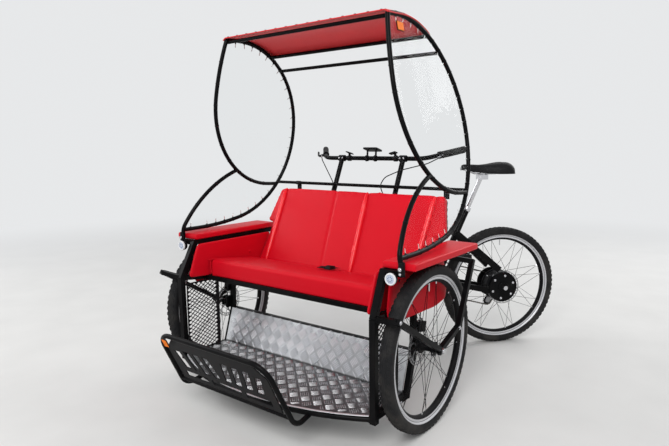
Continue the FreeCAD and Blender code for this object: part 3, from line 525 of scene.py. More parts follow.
def lens(name, colour, rough=0.05):
    """A coloured lens with a prismatic face."""
    material, tree, shader = blank(name)
    wear = use(tree, "wear", Colour=(*colour, 1), Dust=0.05, Scale=200.0)
    feed(shader, Base_Color=wear.outputs["Colour"], Coat_Weight=1.0)
    rough_from(tree, shader, wear.outputs["Rough"], rough, 0.3)
    prism = node(tree, "ShaderNodeTexVoronoi", {"distance": "CHEBYCHEV"}, Vector=place(tree), Scale=260.0)
    bump(tree, shader, prism.outputs["Distance"], 0.5, 0.001)
    return material


MATERIALS = {}


def finish(name):
    """A shared finish by its name, built when first asked for."""
    c = colours()
    makers = {
        "paint": lambda: coated("Black paint", c.paint, 0.30, dust=0.02, scale=90.0, height=0.04, coat=0.05,
                                ior=1.12),
        "satin": lambda: coated("Satin black", (0.006, 0.006, 0.007), 0.42, dust=0.04, ior=1.17),
        "moulded": lambda: coated("Moulded black", (0.008, 0.008, 0.009), 0.5, dust=0.04, scale=900.0,
                                  height=0.25,
                                  ior=1.2),
        "rubber": lambda: coated("Tyre rubber", c.rubber, 0.55, dust=0.12, scale=300.0, height=0.15,
                                 ior=1.17),
        "cable": lambda: coated("Cable housing", (0.006, 0.006, 0.006), 0.35, dust=0.02, ior=1.2),
        "grip": lambda: coated("Grip rubber", (0.009, 0.009, 0.009), 0.68, dust=0.05, scale=500.0,
                               height=0.2),
        "stripe": lambda: coated("Machined rim", (0.58, 0.58, 0.60), 0.34, dust=0.1, scale=300.0,
                                 metallic=0.4),
        "plate": tread_plate,
        "steel": lambda: coated("Plated steel", (0.60, 0.60, 0.62), 0.2, dust=0.1, metallic=1.0),
        "dull_steel": lambda: coated("Dull steel", (0.30, 0.30, 0.31), 0.35, dust=0.15, metallic=1.0),
        "alloy": lambda: coated("Polished alloy", (0.62, 0.62, 0.64), 0.18, dust=0.05, metallic=1.0),
        "chain": lambda: coated("Oiled chain", (0.16, 0.15, 0.14), 0.35, dust=0.1, metallic=1.0),
        "vinyl": lambda: upholstery("Red upholstery", c.vinyl, 0.34),
        # The ridges' red is paler than the upholstery's: a painted highlight along the sewn ridges.
        "piping_painted_bright": lambda: coated("Red piping painted bright", (0.78, 0.012, 0.022), 0.22, dust=0.0, scale=400.0, ior=1.4),
        "backing": lambda: upholstery("Black backing cloth", (0.008, 0.008, 0.009), 0.55, scale=1500.0),
        "saddle": lambda: upholstery("Saddle cover", (0.012, 0.012, 0.013), 0.38, scale=1500.0, strength=0.3),
        "canopy": canopy_cloth,
        "clear": clear_sheet,
        "thread": lambda: coated("Sewing thread", (0.25, 0.01, 0.012), 0.7, dust=0.0, scale=900.0,
                                 height=0.3),
        # Painted light: the riser's bars are much paler than the same bars on the level floor, a painted
        # highlight on the riser and painted shade on the floor.
        "riser_bars_painted_lit": lambda: coated("Riser bars painted lit", (0.88, 0.89, 0.92), 0.30, dust=0.08, scale=80.0,
                                     metallic=0.7),
        "floor_bars_painted_shaded": lambda: coated("Tread bars painted shaded", (0.52, 0.52, 0.53), 0.2, dust=0.05, scale=90.0,
                                     metallic=1.0),
        "lamp_dark": lambda: lens("Lamp prism", (0.10, 0.13, 0.22)),
        "glass_dark": lambda: coated("Dark glass", (0.006, 0.007, 0.009), 0.08, dust=0.0, coat=0.8),
        # The ties' cut tails are opaque pale grey: a painted glint that stands for the light caught on the
        # clear nylon.
        "tie_tail_painted_glint": lambda: coated("Nylon tails painted pale as glints", (0.62, 0.63, 0.62), 0.3, dust=0.0, scale=200.0),
        "lamp": lambda: lens("Lamp lens", (0.46, 0.52, 0.64)),
        "amber": lambda: coated("Amber reflector", (0.90, 0.20, 0.01), 0.5, dust=0.0, scale=900.0, ior=1.2),
        "white": lambda: coated("White plastic", (0.75, 0.75, 0.76), 0.3, dust=0.05),
        "webbing": lambda: upholstery("Belt webbing", (0.02, 0.004, 0.004), 0.6, scale=1800.0, strength=0.4),
    }
    if name not in MATERIALS:
        MATERIALS[name] = makers[name]()
    return MATERIALS[name]


def paint_node(name, which, edge=0.0):
    """Gives a CAD node its finish, and with an edge width softens its corners."""
    piece = NODES[name]
    piece.data.materials.clear()
    piece.data.materials.append(finish(which))
    if edge:
        weld = piece.modifiers.new("Weld", "WELD")
        weld.merge_threshold = 0.00002
        soft = piece.modifiers.new("Bevel", "BEVEL")
        soft.width = edge
        soft.segments = 2
        soft.limit_method = "ANGLE"
        soft.angle_limit = math.radians(50)
        soft.harden_normals = False
        soft.miter_outer = "MITER_ARC"


# ---- stage ----

BACKDROP = (0.80, 0.81, 0.82, 1)


class RICKSHAW_OT_stage(bpy.types.Operator):
    """Sets the floor, the lights and the camera"""

    bl_idname = "rickshaw.stage"
    bl_label = "Stage"

    def seen(self, tree):
        """One for the rays that show the backdrop: straight, reflected or through a clear sheet."""
        path = tree.nodes.new("ShaderNodeLightPath")
        direct = math_node(tree, "MAXIMUM", path.outputs["Is Camera Ray"],
                           path.outputs["Is Transmission Ray"])
        return math_node(tree, "MAXIMUM", direct, path.outputs["Is Glossy Ray"])

    def execute(self, context):
        scene = context.scene
        scene.view_settings.view_transform = "Standard"
        floor = Shell().add([(-30, -30, 0), (30, -30, 0), (30, 30, 0), (-30, 30, 0)], [(0, 1, 2, 3)])
        mesh = bpy.data.meshes.new("floor")
        mesh.from_pydata(floor.points, [], floor.faces)
        slab = bpy.data.objects.new("floor", mesh)
        scene.collection.objects.link(slab)
        material, tree, shader = blank("Studio floor")
        tone = remap(tree, clouds(tree, place(tree), 3.0, 8.0), 0.3, 0.7, 0.97, 1.03)
        feed(shader, Base_Color=times(tree, colours().floor, tone), Roughness=0.85)
        away = node(tree, "ShaderNodeVectorMath", {"operation": "LENGTH"}, i0=place(tree)).outputs["Value"]
        share = node(tree, "ShaderNodeMapRange", {"interpolation_type": "SMOOTHSTEP"}, Value=away, i1=2.0,
                     i2=7.0)
        pale = node(tree, "ShaderNodeEmission", None, Color=BACKDROP, Strength=1.0)
        fade = math_node(tree, "MULTIPLY", share.outputs[0], self.seen(tree))
        blend(tree, fade, shader, pale)
        mesh.materials.append(material)

        world = bpy.data.worlds.new("Studio")
        scene.world = world
        world.use_nodes = True
        tree = world.node_tree
        lit = feed(tree.nodes["Background"], Color=(0.93, 0.96, 1.0, 1), Strength=0.50)
        shown = node(tree, "ShaderNodeBackground", None, Color=BACKDROP, Strength=1.0)
        blend(tree, self.seen(tree), lit, shown, "World Output")

        lamps = (  # name, place, size, power
            ("key", (2.2, -4.5, 4.2), 3.0, 210),
            ("fill", (-4.5, -2.0, 3.0), 3.5, 90),
            ("back", (1.5, 4.5, 3.6), 3.0, 110),
        )
        for name, spot, size, power in lamps:
            data = bpy.data.lights.new(name, "AREA")
            data.size = size
            data.energy = power
            lamp = bpy.data.objects.new(name, data)
            lamp.location = spot
            lamp.rotation_mode = "QUATERNION"
            lamp.rotation_quaternion = (Vector((0, 0, 0.6)) - Vector(spot)).to_track_quat("-Z", "Y")
            scene.collection.objects.link(lamp)

        view = bpy.data.cameras.new("view")
        view.sensor_width = 36.0
        view.lens = 29.925
        camera = bpy.data.objects.new("view", view)
        yaw, pitch, roll = 0.6507, 0.1376, -0.0070
        ahead = Vector((-math.sin(yaw), math.cos(yaw), 0))
        right = Vector((math.cos(yaw), math.sin(yaw), 0))
        look = ahead * math.cos(pitch) - Vector((0, 0, math.sin(pitch)))
        top = Vector((0, 0, math.cos(pitch))) + ahead * math.sin(pitch)
        across = right * math.cos(roll) + top * math.sin(roll)
        top = top * math.cos(roll) - right * math.sin(roll)
        m = Matrix((across, top, -look)).transposed().to_4x4()
        m.translation = pod(1.5911, -1.9038, 1.1263)
        camera.matrix_world = m
        scene.collection.objects.link(camera)
        scene.camera = camera
        return {"FINISHED"}


# ---- frame ----

NODE_FINISHES = (  # finish, width of the softened edge, nodes, where a star is left and then right
    ("paint", 0.0016, "floor_frame seat_frame steering_yoke rear_frame corner_post_* wheel_guard_*"),
    ("paint", 0.0, "handlebar canopy_bars step_guard hoop_*"),
    ("satin", 0.0, "step_plate mesh_panel_* brake_levers wheel_front_* wheel_rear"),
    ("satin", 0.0008, "crankset"),
    ("satin", 0.001, "derailleur brake_caliper_* brake_caliper_rear"),
    ("steel", 0.0006, "front_axle_* rear_axle"),
    ("alloy", 0.0006, "seat_post"),
    ("plate", 0.0, "floor_plate"),
    ("chain", 0.0, "chain"),
    ("grip", 0.0, "grips"),
    ("cable", 0.0, "brake_cables"),
    ("moulded", 0.0, "display"),
    ("moulded", 0.001, "pedal_*"),
    ("rubber", 0.0, "tyre_front_* tyre_rear"),
    ("lamp", 0.0, "headlight_*"),
    ("clear", 0.0, "window_*"),
    ("saddle", 0.0, "saddle"),
    ("vinyl", 0.004, "side_panel_*"),
    ("vinyl", 0.0, "armrest_* seat_cushion backrest"),
    ("canopy", 0.0, "canopy_cover"),
)


class RICKSHAW_OT_frame(bpy.types.Operator):
    """Gives each of the frame's own nodes its finish"""

    bl_idname = "rickshaw.frame"
    bl_label = "Frame and brackets"

    def execute(self, context):
        for which, edge, names in NODE_FINISHES:
            for name in names.split():
                for side in ("left", "right") if "*" in name else ("",):
                    paint_node(name.replace("*", side), which, edge=edge)
        return {"FINISHED"}


# ---- tyres and wheels ----

CHAIN_X = -0.060  # the chain's plane on the rear frame
CHAIN_PITCH = 0.0127
TYRE_HALF = (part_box("tyre_front_left")[1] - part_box("tyre_front_left")[0]).x / 2
RIM_RADIUS = TYRE_RADIUS - 0.048
SIDEWALL = (  # (share of the half width, below the tread radius) from the crown to the bead
    (0.0, 0.0012), (0.33, 0.0017), (0.60, 0.0032), (0.80, 0.0066), (0.93, 0.0125), (1.0, 0.0205),
    (0.98, 0.0275), (0.88, 0.0355), (0.72, 0.0425), (0.61, 0.0465), (0.56, 0.0480),
)


def skin_radius(x):
    """The tyre's radius at a distance from its middle, on the tread side of the sidewall."""
    share = abs(x) / TYRE_HALF
    for (a, low), (b, high) in zip(SIDEWALL, SIDEWALL[1:6]):
        if share <= b:
            return TYRE_RADIUS - low - (high - low) * (share - a) / (b - a)
    return TYRE_RADIUS - SIDEWALL[5][1]


def on_tyre(angle, x, lift=0.0):
    r = skin_radius(x) + lift
    lean = min(abs(x) / TYRE_HALF, 1.0) ** 3
    shift = math.copysign(lift * lean * 0.8, x) if x else 0.0
    return spun(x + shift, r, angle)


def tread_block(shell, angle, x, long, wide, lift, skew=0.0):
    """A raised block on the tread. Long is along the road and wide across it."""
    half = long / 2 / TYRE_RADIUS
    low, high = [], []
    for a, b in CORNERS:
        t = angle + a * half + b * skew / TYRE_RADIUS
        low.append(on_tyre(t, x + b * wide / 2))
        high.append(on_tyre(angle + a * half * 0.82 + b * skew / TYRE_RADIUS, x + b * wide * 0.42, lift))
    shell.add(low + high, [(4, 5, 6, 7), (0, 1, 5, 4), (1, 2, 6, 5), (2, 3, 7, 6), (3, 0, 4, 7)])


def tyre_piece(name, matrix, body):
    shell = Shell()
    half = [(share * TYRE_HALF, TYRE_RADIUS - low) for share, low in SIDEWALL]
    profile = [(-x, r) for x, r in half[:0:-1]] + half
    shell.turn(profile, steps=128, closed=True)
    for side in (-1, 1):
        x, r = side * TYRE_HALF * 0.66, RIM_RADIUS + 0.0035
        band = [(x - side * 0.0018, r - 0.0028), (x + side * 0.0012, r), (x + side * 0.0034, r + 0.0042),
                (x + side * 0.0026, r + 0.0044)]
        shell.turn(band, steps=128, paint=1)
    count = sizes().knob_count
    for i in range(count):
        angle = 2 * math.pi * i / count
        step = 2 * math.pi / count
        for side in (-1, 1):
            half_step = step / 2 if side > 0 else 0
            tread_block(shell, angle + half_step, side * 0.0178, 0.0165, 0.0085, 0.0026, 0.0018 * side)
            tread_block(shell, angle + half_step + step / 2, side * 0.0108, 0.0120, 0.0048, 0.0014,
                        -0.0022 * side)
    waves = count * 4
    for side in (-1, 1):
        rings = []
        for i in range(waves):
            angle = 2 * math.pi * i / waves
            x = side * 0.0046 + 0.0020 * math.sin(2 * math.pi * i / 8)
            rings.append([on_tyre(angle, x - 0.0021), on_tyre(angle, x - 0.0014, 0.0012),
                          on_tyre(angle, x + 0.0014, 0.0012), on_tyre(angle, x + 0.0021)])
        shell.skin(rings, closed=False, loop=True)
    piece = shell.piece(f"tyre_{name}_tread", ["rubber", "stripe"], body, "tyre_rubber", [f"tyre_{name}"])
    return move(piece, matrix)


def move(piece, matrix):
    """Places a piece that was built about its own middle, keeping its tie to its body."""
    piece.data.transform(matrix)
    return piece


def ring_bar(shell, radius_in, radius_out, x, thick, steps=64, paint=0):
    shell.turn([(x - thick / 2, radius_in), (x - thick / 2, radius_out), (x + thick / 2, radius_out),
                (x + thick / 2, radius_in)], steps=steps, closed=True, paint=paint)


def spoke(shell, angle, swing, flange_x, flange_radius, rim_x, paint):
    foot = spun(flange_x, flange_radius, angle)
    head = spun(rim_x, RIM_RADIUS - 0.019, angle + swing)
    shell.sweep([foot, head], 0.00105, sides=6, paint=paint)
    way = (head - foot).normalized()
    shell.sweep([head - way * 0.011, head - way * 0.009, head + way * 0.004], [0.0012, 0.0021, 0.0023],
                sides=6, paint=paint + 1)
    shell.sweep([foot + Vector((0.0028 * math.copysign(1, flange_x), 0, 0)), foot], [0.0022, 0.0016], sides=6,
                paint=paint + 1)


def drilled_disc(shell, x, radius, inner, paint, arms=6):
    """A brake disc: two rings with bridges between, joined to the carrier by swept arms."""
    ring_bar(shell, radius - 0.004, radius, x, 0.0018, paint=paint)
    ring_bar(shell, radius - 0.0155, radius - 0.0115, x, 0.0018, paint=paint)
    for i in range(30):
        t = 2 * math.pi * i / 30
        ends = [spun(x, radius - 0.0125, t), spun(x, radius - 0.003, t + 0.05)]
        shell.sweep(ends, 0.0022, sides=6, flat=0.4, up=(1, 0, 0), paint=paint)
    for i in range(arms):
        t = 2 * math.pi * i / arms
        path = [spun(x, inner, t), spun(x, (inner + radius) / 2, t + 0.10),
                spun(x, radius - 0.0135, t + 0.34)]
        shell.sweep(spline(path, 7), 0.0036, sides=6, flat=0.3, up=(1, 0, 0), paint=paint)


def wheel_piece(name, matrix, body, hub, disc_x, disc_radius, sprocket_x=0.0):
    """Rim, crossed spokes with nipples, hub and disc. The hub is (half length, radius, spoke circle)."""
    half_length, hub_radius, circle_radius = hub
    count = 16
    shell = Shell()
    r = RIM_RADIUS
    rim = [(0.0128, r - 0.0006), (0.0140, r + 0.0008), (0.0150, r - 0.0002), (0.0149, r - 0.0098),
           (0.0125, r - 0.0150), (0.0070, r - 0.0205), (0.0035, r - 0.0219)]
    profile = rim + [(-x, a) for x, a in rim[::-1]]
    shell.turn(profile, steps=128, closed=True, paint=0)
    for side in (-1, 1):
        x = side * 0.0151
        shell.turn([(x, r - 0.0094), (x + side * 0.0002, r - 0.0090), (x + side * 0.0002, r - 0.0010),
                    (x, r - 0.0006)], steps=128, paint=4)
    flange_x = half_length - 0.010
    small = circle_radius < 0.05
    swing = 2 * math.pi / count * (2.5 if small else 1.5)
    for side in (1, -1):
        for i in range(count):
            t = 2 * math.pi / count * (i + (0.5 if side < 0 else 0))
            spoke(shell, t, swing if i % 2 else -swing, flange_x * side + (0.001 if i % 2 else -0.001),
                  circle_radius - 0.0035, 0.004 * side, 1)
    if small:
        half = [(half_length, 0.0085), (half_length, 0.0125), (half_length - 0.006, 0.0135),
                (flange_x + 0.003, 0.017), (flange_x + 0.002, circle_radius),
                (flange_x - 0.002, circle_radius), (flange_x - 0.004, 0.0185), (0.010, hub_radius - 0.003)]
    else:
        half = [(half_length, 0.020), (half_length, 0.050), (half_length - 0.004, 0.066),
                (half_length - 0.007, circle_radius), (half_length - 0.013, circle_radius),
                (half_length - 0.015, hub_radius)]
    shell.turn([(-x, r) for x, r in half] + half[::-1], steps=48, paint=0)
    inner = min(abs(disc_x), half_length)
    span = (disc_x / abs(disc_x)) if disc_x else 1
    shell.turn([(span * (inner - 0.004), 0.021), (disc_x - span * 0.002, 0.024),
                (disc_x + span * 0.0015, 0.024),
                (disc_x + span * 0.0015, 0.0085)], steps=36, paint=0)
    drilled_disc(shell, disc_x, disc_radius, 0.022 if small else 0.030, 3)
    for i in range(6):
        t = 2 * math.pi * i / 6 + 0.2
        spot = spun(disc_x + span * 0.001, 0.019, t)
        shell.sweep([spot, spot + Vector((span * 0.0022, 0, 0))], 0.003, sides=6, paint=2)
    if sprocket_x:
        way = math.copysign(1, sprocket_x)
        shell.turn([(way * 0.046, 0.020), (sprocket_x, 0.020), (sprocket_x, 0.0085)], steps=32, paint=2)
        for k, teeth in enumerate((21, 18, 15, 13)):
            toothed(shell, sprocket_x + way * (-0.006 + 0.004 * k), teeth,
                    CHAIN_PITCH / 2 / math.sin(math.pi / teeth), 0.0018, 3)
    valve_at = Vector((0, 0, RIM_RADIUS - 0.022))
    shell.sweep([valve_at, valve_at - Vector((0, 0, 0.026)), valve_at - Vector((0, 0, 0.034))],
                [0.003, 0.003, 0.0022], sides=8, paint=2)
    piece = shell.piece(f"wheel_{name}_built", ["satin", "paint", "alloy", "dull_steel", "stripe"], body,
                        "wheel_black", [f"wheel_{name}"])
    return move(piece, matrix)


TOOTH = (0.0032, 0.0010, -0.0030, 0.0010)  # one pitch of the edge, from the crest through the root


def toothed(shell, x, teeth, radius, thick, paint, bore=0.0):
    """A toothed wheel in the plane at x, with four quads to a tooth: two faces, the edge and the bore."""
    angles = [2 * math.pi * i / (teeth * 4) for i in range(teeth * 4)]
    inside = max(bore, radius - 0.011)

    def ring(side, inner):
        return [spun(x + side * thick / 2, inside if inner else radius + TOOTH[i % 4], t)
                for i, t in enumerate(angles)]

    for first, second in (((-1, 0), (-1, 1)), ((1, 0), (1, 1)), ((-1, 0), (1, 0)), ((-1, 1), (1, 1))):
        shell.skin([ring(*first), ring(*second)], paint, caps=False)


WHEELS = (  # name, body, hub (half length, radius, spoke circle), disc plane, disc radius, sprocket plane
    ("front_left", "wheel_front_left", (0.038, 0.017, 0.029), -0.043, 0.080, 0.0),
    ("front_right", "wheel_front_right", (0.038, 0.017, 0.029), 0.043, 0.080, 0.0),
    ("rear", "wheel_rear", (0.046, 0.080, 0.086), 0.058, 0.094, -0.060),
)


class RICKSHAW_OT_wheels(bpy.types.Operator):
    """Builds the three tyres with their tread, and the spoked wheels"""

    bl_idname = "rickshaw.wheels"
    bl_label = "Wheels and tyres"

    def execute(self, context):
        for name, body, hub, disc_x, disc_radius, sprocket_x in WHEELS:
            spot = middle(f"tyre_{name}")
            matrix = turned(spot) if name == "rear" else Matrix.Translation(spot)
            tyre_piece(name, matrix, body)
            wheel_piece(name, matrix, body, hub, disc_x, disc_radius, sprocket_x)
        return {"FINISHED"}


# ---- upholstery ----

CLOTH_FRAMES = 20
VOXEL = 0.0075


def swell(piece, cap, pressure=4.0):
    """Puffs a closed mesh as cloth under pressure and keeps every point within the cap of its place."""
    context = bpy.context
    remesh = piece.modifiers.new("Remesh", "REMESH")
    remesh.mode = "VOXEL"
    remesh.voxel_size = VOXEL
    context.view_layer.objects.active = piece
    piece.select_set(True)
    bpy.ops.object.modifier_apply(modifier=remesh.name)
    start = [v.co.copy() for v in piece.data.vertices]
    cloth = piece.modifiers.new("Cloth", "CLOTH")
    settings = cloth.settings
    settings.use_pressure = True
    settings.uniform_pressure_force = pressure
    settings.effector_weights.gravity = 0.0
    settings.quality = 5
    settings.tension_stiffness = 30
    settings.compression_stiffness = 30
    cloth.collision_settings.use_collision = False
    cloth.point_cache.frame_start = 1
    cloth.point_cache.frame_end = CLOTH_FRAMES
    scene = context.scene
    for number in range(1, CLOTH_FRAMES + 1):
        scene.frame_set(number)
    graph = context.evaluated_depsgraph_get()
    shaped = piece.evaluated_get(graph).to_mesh()
    moved = [v.co.copy() for v in shaped.vertices]
    piece.evaluated_get(graph).to_mesh_clear()
    piece.modifiers.remove(cloth)
    for vertex, was, now in zip(piece.data.vertices, start, moved):
        step = now - was
        vertex.co = was + step * (cap / (cap + step.length))
    scene.frame_set(1)
    finer = piece.modifiers.new("Finer", "SUBSURF")
    finer.levels = 1
    bpy.ops.object.modifier_apply(modifier=finer.name)


CUSHION_LOW, CUSHION_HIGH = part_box("seat_cushion")
BACK_FOOT = Vector((POD.x, CUSHION_HIGH.y, CUSHION_LOW.z + 0.001))
BACK_RUN, BACK_RISE = 0.204, 0.394
BACK_LEAN = math.atan2(BACK_RUN, BACK_RISE)
BACK_TALL = math.hypot(BACK_RUN, BACK_RISE)
SEAT_HALF = (CUSHION_HIGH.x - CUSHION_LOW.x) / 2


def on_back(x, up, behind=0.0):
    """A point of the leaning backrest: along its width, up its face, and behind the face."""
    return Vector((POD.x + x, BACK_FOOT.y + up * math.sin(BACK_LEAN) + behind * math.cos(BACK_LEAN),
                   BACK_FOOT.z + up * math.cos(BACK_LEAN) - behind * math.sin(BACK_LEAN)))


RIDGES = ((-0.430, -0.447), (0.108, 0.081), (0.430, 0.447))  # place across at the foot and at the head


def back_half_width(up):
    """Half the backrest's width: narrow between the armrests, widest just above them."""
    stops = ((0.0, 0.496), (0.253, 0.496), (0.262, 0.535), (BACK_TALL, 0.488))
    for (a, wide), (b, wider) in zip(stops, stops[1:]):
        if up <= b:
            return wide + (wider - wide) * (up - a) / (b - a)
    return stops[-1][1]


def back_top_rise(x):
    """How far the top edge stands above the head's ends: an arch over each panel, a dip at each seam."""
    stops = ((-0.60, -0.004), (-0.447, 0.004), (-0.108, 0.009), (0.081, 0.003), (0.447, 0.008), (0.60, 0.0))
    arches = (0.0, 0.012, 0.004, 0.013, 0.0)
    for (a, rise), (b, risen), arch in zip(stops, stops[1:], arches):
        if x <= b:
            t = (x - a) / (b - a)
            return rise + (risen - rise) * t + arch * (1 - (2 * t - 1) ** 2)
    return 0.0


class RICKSHAW_OT_seat(bpy.types.Operator):
    """Puffs the cushion and the backrest, and sews their ridges and seams"""

    bl_idname = "rickshaw.seat"
    bl_label = "Seat and backrest"

    def execute(self, context):
        self.cushion()
        self.backrest()
        return {"FINISHED"}

    def cushion(self):
        inset = 0.003
        low, high = CUSHION_LOW, CUSHION_HIGH
        front_top, back_top = high.z - inset, low.z + 0.044 - inset
        section = [(low.y + inset, low.z - 0.004), (low.y + inset, low.z + 0.030), (low.y + inset,
                                                                                    front_top - 0.012),
                   (low.y + inset + 0.004, front_top - 0.003), (low.y + inset + 0.014, front_top),
                   (low.y + 0.14, front_top * 0.60 + back_top * 0.40 + 0.002), (high.y - 0.05, back_top * 0.85
                                                                                + front_top * 0.15 + 0.001),
                   (high.y - 0.004, back_top - 0.003), (high.y - 0.003, low.z - 0.004)]
        rings = []
        for i in range(25):
            x = (-1 + i / 12) * (SEAT_HALF - inset)
            rings.append([Vector((POD.x + x, y, z)) for y, z in section])
        piece = Shell().skin(rings).bare("seat_cushion_cover")
        swell(piece, sizes().puff)
        for vertex in piece.data.vertices:
            vertex.co.x = min(max(vertex.co.x, low.x), high.x)
            vertex.co.y = min(max(vertex.co.y, low.y), high.y)
            vertex.co.z = min(max(vertex.co.z, low.z), high.z)
        piece.data.materials.append(finish("vinyl"))
        finish_piece(piece, "pod", ["seat_cushion"], smooth=80)
        seam = Shell()
        edge = low.y + 0.006
        for end in (-1, 1):
            x = POD.x + end * (SEAT_HALF - 0.004)
            line = [Vector((x, edge - 0.002, low.z + 0.012)), Vector((x, edge - 0.003, high.z - 0.012)),
                    Vector((x, edge + 0.010, high.z - 0.003)), Vector((x, high.y - 0.03, low.z + 0.046))]
            seam.sweep(spline(line, 24), 0.0028, sides=8)
        seam.piece("seat_cushion_welts", ["vinyl"], "pod", "red_vinyl")

    def crease(self, piece, distance, depth, width):
        """Presses a sewn line into the surface wherever the distance to it is small."""
        piece.data.update()
        normals = [v.normal.copy() for v in piece.data.vertices]
        for vertex, normal in zip(piece.data.vertices, normals):
            near = distance(vertex.co) / width
            if near < 3:
                vertex.co -= normal * depth * math.exp(-near * near)

    def backrest(self):
        """Three upholstered panels between ridges, and wings that fall back and widen above the armrests."""
        heights = (0.003, 0.06, 0.12, 0.18, 0.225, 0.252, 0.262, 0.30, 0.34, 0.38, 0.415, 1.0)
        shares = [-1 + i / 10 for i in range(21)]
        wings = (0.12, 0.3, 0.5, 0.75, 1.0)
        front, back = [], []
        for up in heights:
            v = min(up / BACK_TALL, 1.0)
            outer, half = 0.430 + 0.017 * v, back_half_width(min(up, BACK_TALL))
            places = [(u * outer, 0.0) for u in shares]
            places += [(outer + (half - outer) * q, q) for q in wings]
            places = [(-x, q) for x, q in places[:20:-1]] + places
            front_line, back_line = [], []
            for x, q in places:
                rise = min(up, BACK_TALL + back_top_rise(x) - 0.001)
                fall = 0.020 * q ** 0.8 * math.sin(math.pi * min(max(v, 0.08), 0.92))
                front_line.append(on_back(x, rise, 0.002 + fall))
                back_line.append(on_back(x, rise - (0.002 if up == 1.0 else 0.0), 0.053))
            front.append(front_line)
            back.append(back_line)
        piece = Shell().skin([f + b[::-1] for f, b in zip(front, back)]).bare("backrest_cover")
        swell(piece, sizes().puff * 0.6)

        def across_face(point, low_x, high_x):
            """Distance from a sewn line that runs up the face."""
            local = point - BACK_FOOT
            up = local.y * math.sin(BACK_LEAN) + local.z * math.cos(BACK_LEAN)
            behind = local.y * math.cos(BACK_LEAN) - local.z * math.sin(BACK_LEAN)
            if behind > 0.035:
                return 1.0
            return abs(point.x - POD.x - low_x - (high_x - low_x) * min(max(up / BACK_TALL, 0), 1))

        self.crease(piece, lambda p: min(across_face(p, *line) for line in RIDGES), 0.003, 0.010)
        self.crease(piece, lambda p: across_face(p, -0.064, -0.108), 0.0025, 0.008)
        piece.data.materials.append(finish("vinyl"))
        piece.data.materials.append(finish("backing"))
        for face in piece.data.polygons:
            local = face.center - BACK_FOOT
            face.material_index = int(local.y * math.cos(BACK_LEAN) - local.z * math.sin(BACK_LEAN) > 0.036)
        finish_piece(piece, "pod", ["backrest"], smooth=80)
        self.ridges(piece)

    def ridges(self, cover):
        """Sewn ridges laid on the cover's own surface, found by casting onto it."""
        ridge = sizes().ridge
        shell = Shell()
        way = Vector((0, math.cos(BACK_LEAN), -math.sin(BACK_LEAN)))
        for low_x, high_x in RIDGES:
            line = []
            for i in range(32):
                v = i / 31
                x = low_x + (high_x - low_x) * v
                up = 0.030 + (BACK_TALL + back_top_rise(x) - 0.030 - 0.008) * v
                hit, spot, _, _ = cover.ray_cast(on_back(x, up, -0.06), way)
                if hit:
                    line.append(spot - way * (ridge * 0.45))
            last = len(line) - 1
            radii = [ridge * min(1.0, 0.45 + 4 * min(k, last - k) / len(line)) for k in range(len(line))]
            shell.sweep(line, radii, sides=16)
        # The ridges take a paler red than the cover as their painted highlight.
        shell.piece("backrest_ridges", ["piping_painted_bright"], "pod", "red_vinyl", smooth=80)


SIDE_SHEETS = (  # distance from the middle, thickness, outline as (behind the axle, height)
    (0.5035, 0.012, ((-0.286, 0.518), (-0.170, 0.509), (0.185, 0.509), (0.268, 0.669), (-0.229, 0.669))),
    (0.5515, 0.009, ((-0.228, 0.520), (-0.205, 0.470), (0.150, 0.457), (0.248, 0.472), (0.256, 0.530),
                     (0.226, 0.645), (-0.210, 0.645))),
)


